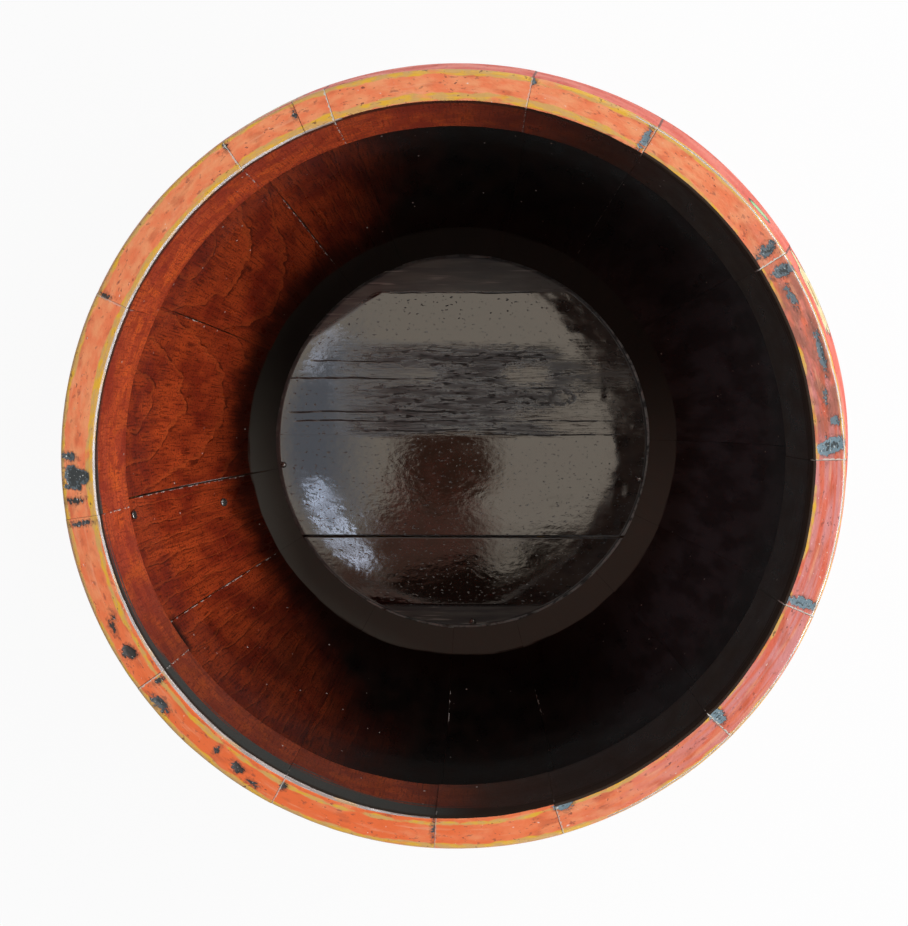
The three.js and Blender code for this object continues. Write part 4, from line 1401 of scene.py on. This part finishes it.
class RICEBUCKET_OT_stage(bpy.types.Operator):
    """Set up the floor, the light and the camera"""

    bl_idname = "rice_bucket.stage"
    bl_label = "Stage"

    def execute(self, context):
        scene = context.scene
        stage = scene.bucket_stage
        scene.view_settings.view_transform = "Standard"
        scene.world = soft_sky(stage)
        self.make_floor(scene)
        self.make_lights(stage, Vector((0, 0, scene.bucket_shape.rim_height)))
        self.make_camera(scene, stage)
        return {"FINISHED"}

    def make_floor(self, scene):
        mesh = bpy.data.meshes.new("paper_floor")
        corners = [(x * PAPER_HALF, y * PAPER_HALF, 0) for x, y in ((-1, -1), (1, -1), (1, 1), (-1, 1))]
        mesh.from_pydata(corners, [], [(0, 1, 2, 3)])
        mesh.materials.append(studio_paper())
        floor = bpy.data.objects.new("paper_floor", mesh)
        floor.location.z = -0.2 * MM
        scene.collection.objects.link(floor)

    def make_lights(self, stage, mouth):
        window = (stage.window_width, stage.window_height)
        bank = (stage.bank_width, stage.bank_height)
        for name, turn, watts, size in (
            ("window", 0, stage.window_power, window),
            ("left_bank", stage.bank_turn, stage.bank_power, bank),
            ("right_bank", -stage.bank_turn, stage.bank_power, bank),
        ):
            level = math.cos(stage.window_elevation)
            direction = stage.window_direction + turn
            way = Vector((math.cos(direction) * level, math.sin(direction) * level, 0))
            way.z = math.sin(stage.window_elevation)
            facing = (-way).to_track_quat("-Z", "Y").to_euler()
            area_light(name, mouth + way * stage.window_distance, facing, watts, size, WINDOW_WHITE)
        for name, place, watts, size, degrees in CEILING_LIGHTS:
            turn = (0, 0, math.radians(degrees))
            area_light(name, mouth + Vector(place), turn, watts, size, CEILING_WHITE)

    def make_camera(self, scene, stage):
        camera = bpy.data.cameras.new("overhead")
        camera.sensor_width = 36
        camera.lens = camera.sensor_width * stage.focal_pixels / max(IMAGE_WIDTH, IMAGE_HEIGHT)
        camera.clip_start = 0.01
        camera.clip_end = 50
        viewer = bpy.data.objects.new("overhead", camera)
        forward = Vector((math.sin(stage.camera_lean), math.sin(stage.camera_tilt), -1)).normalized()
        right = forward.cross(Vector((0, 1, 0))).normalized()
        turn = Matrix((right, right.cross(forward), -forward)).transposed()
        viewer.matrix_world = Matrix.Translation(stage.camera_place) @ turn.to_4x4()
        scene.collection.objects.link(viewer)
        scene.camera = viewer


class RICEBUCKET_OT_staves(bpy.types.Operator):
    """Make the fifteen lacquered staves"""

    bl_idname = "rice_bucket.staves"
    bl_label = "Staves"

    def execute(self, context):
        shape, finish = context.scene.bucket_shape, context.scene.bucket_finish
        materials = [rim_lacquer(finish), rim_edge(), inside_lacquer(finish, shape)]
        materials += [outside_lacquer(finish), bare_fir(finish)]
        for number in range(1, STAVE_COUNT + 1):
            node = f"stave_{number:02d}"
            points, quads, face_material, attributes = stave_surface(number, shape)
            piece = (f"lacquered_{node}", points, quads, materials, "red_lacquer", node)
            make_piece(*piece, face_material, attributes)
        return {"FINISHED"}


class RICEBUCKET_OT_floor(bpy.types.Operator):
    """Make the four floor boards"""

    bl_idname = "rice_bucket.floor"
    bl_label = "Floor boards"

    def execute(self, context):
        shape, finish = context.scene.bucket_shape, context.scene.bucket_finish
        materials = [floor_lacquer(finish), bare_fir(finish)]
        for number in range(1, BOARD_COUNT + 1):
            node = f"floor_board_{number}"
            points, quads, face_material, attributes = board_surface(node, shape)
            piece = (f"planed_{node}", points, quads, materials, "dark_lacquer", node)
            make_piece(*piece, face_material, attributes)
        return {"FINISHED"}


class RICEBUCKET_OT_hoops(bpy.types.Operator):
    """Make the two iron hoops and their rivets"""

    bl_idname = "rice_bucket.hoops"
    bl_label = "Hoops and rivets"

    def execute(self, context):
        shape, finish = context.scene.bucket_shape, context.scene.bucket_finish
        strip, rivet_iron = hoop_iron(finish), nail_iron(finish)
        for hoop in ("foot_hoop", "belly_hoop"):
            points, quads, attributes = hoop_surface(hoop, shape)
            make_piece(f"hammered_{hoop}", points, quads, [strip], "black_iron", hoop, None, attributes)
            for number in (1, 2):
                node = f"{hoop}_rivet_{number}"
                points, faces = headed_pin(node, 28, 0.25 * MM, number + len(hoop))
                make_piece(f"domed_{node}", points, faces, [rivet_iron], "black_iron", node)
        return {"FINISHED"}


class RICEBUCKET_OT_nails(bpy.types.Operator):
    """Make the nails in the wall and the tacks at the edge of the floor"""

    bl_idname = "rice_bucket.nails"
    bl_label = "Nails and tacks"

    def execute(self, context):
        iron = nail_iron(context.scene.bucket_finish)
        nodes = [f"wall_nail_{k}" for k in (1, 2)] + [f"floor_tack_{k}" for k in (1, 2, 3)]
        for seed, node in enumerate(nodes):
            points, faces = headed_pin(node, 24, 0.2 * MM, seed + 50)
            make_piece(f"forged_{node}", points, faces, [iron], "iron_nail", node)
        return {"FINISHED"}


class RICEBUCKET_OT_pins(bpy.types.Operator):
    """Give the hidden bamboo pins their finish"""

    bl_idname = "rice_bucket.pins"
    bl_label = "Bamboo pins"

    def execute(self, context):
        bamboo = split_bamboo(context.scene.bucket_finish)
        for node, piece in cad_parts.items():
            if "_pin_" in node:
                piece.data.materials.clear()
                piece.data.materials.append(bamboo)
        return {"FINISHED"}


OPERATORS = (
    RICEBUCKET_OT_stage,
    RICEBUCKET_OT_staves,
    RICEBUCKET_OT_floor,
    RICEBUCKET_OT_hoops,
    RICEBUCKET_OT_nails,
    RICEBUCKET_OT_pins,
)
GROUPS = {"bucket_shape": BucketShape, "bucket_finish": BucketFinish, "bucket_stage": BucketStage}


class RICEBUCKET_PT_sidebar(bpy.types.Panel):
    """Lists the bucket's pieces and its settings"""

    bl_label = "Rice bucket"
    bl_idname = "RICEBUCKET_PT_sidebar"
    bl_space_type = "VIEW_3D"
    bl_region_type = "UI"
    bl_category = "Rice bucket"

    def draw(self, context):
        for operator in OPERATORS:
            self.layout.operator(operator.bl_idname)
        for name, group in GROUPS.items():
            box = self.layout.box()
            for key in group.__annotations__:
                box.prop(getattr(context.scene, name), key)


def register():
    """Register the classes and hang the settings on the scene."""
    for kind in (*GROUPS.values(), *OPERATORS, RICEBUCKET_PT_sidebar):
        bpy.utils.register_class(kind)
    for name, kind in GROUPS.items():
        setattr(bpy.types.Scene, name, bpy.props.PointerProperty(type=kind))


def unregister():
    """Take the settings off the scene and unregister the classes."""
    for name in GROUPS:
        delattr(bpy.types.Scene, name)
    for kind in (RICEBUCKET_PT_sidebar, *reversed(OPERATORS), *reversed(GROUPS.values())):
        bpy.utils.unregister_class(kind)


def main():
    """Make the stage and every piece."""
    register()
    bpy.ops.rice_bucket.stage()
    bpy.ops.rice_bucket.staves()
    bpy.ops.rice_bucket.floor()
    bpy.ops.rice_bucket.hoops()
    bpy.ops.rice_bucket.nails()
    bpy.ops.rice_bucket.pins()


if __name__ == "__main__":
    main()
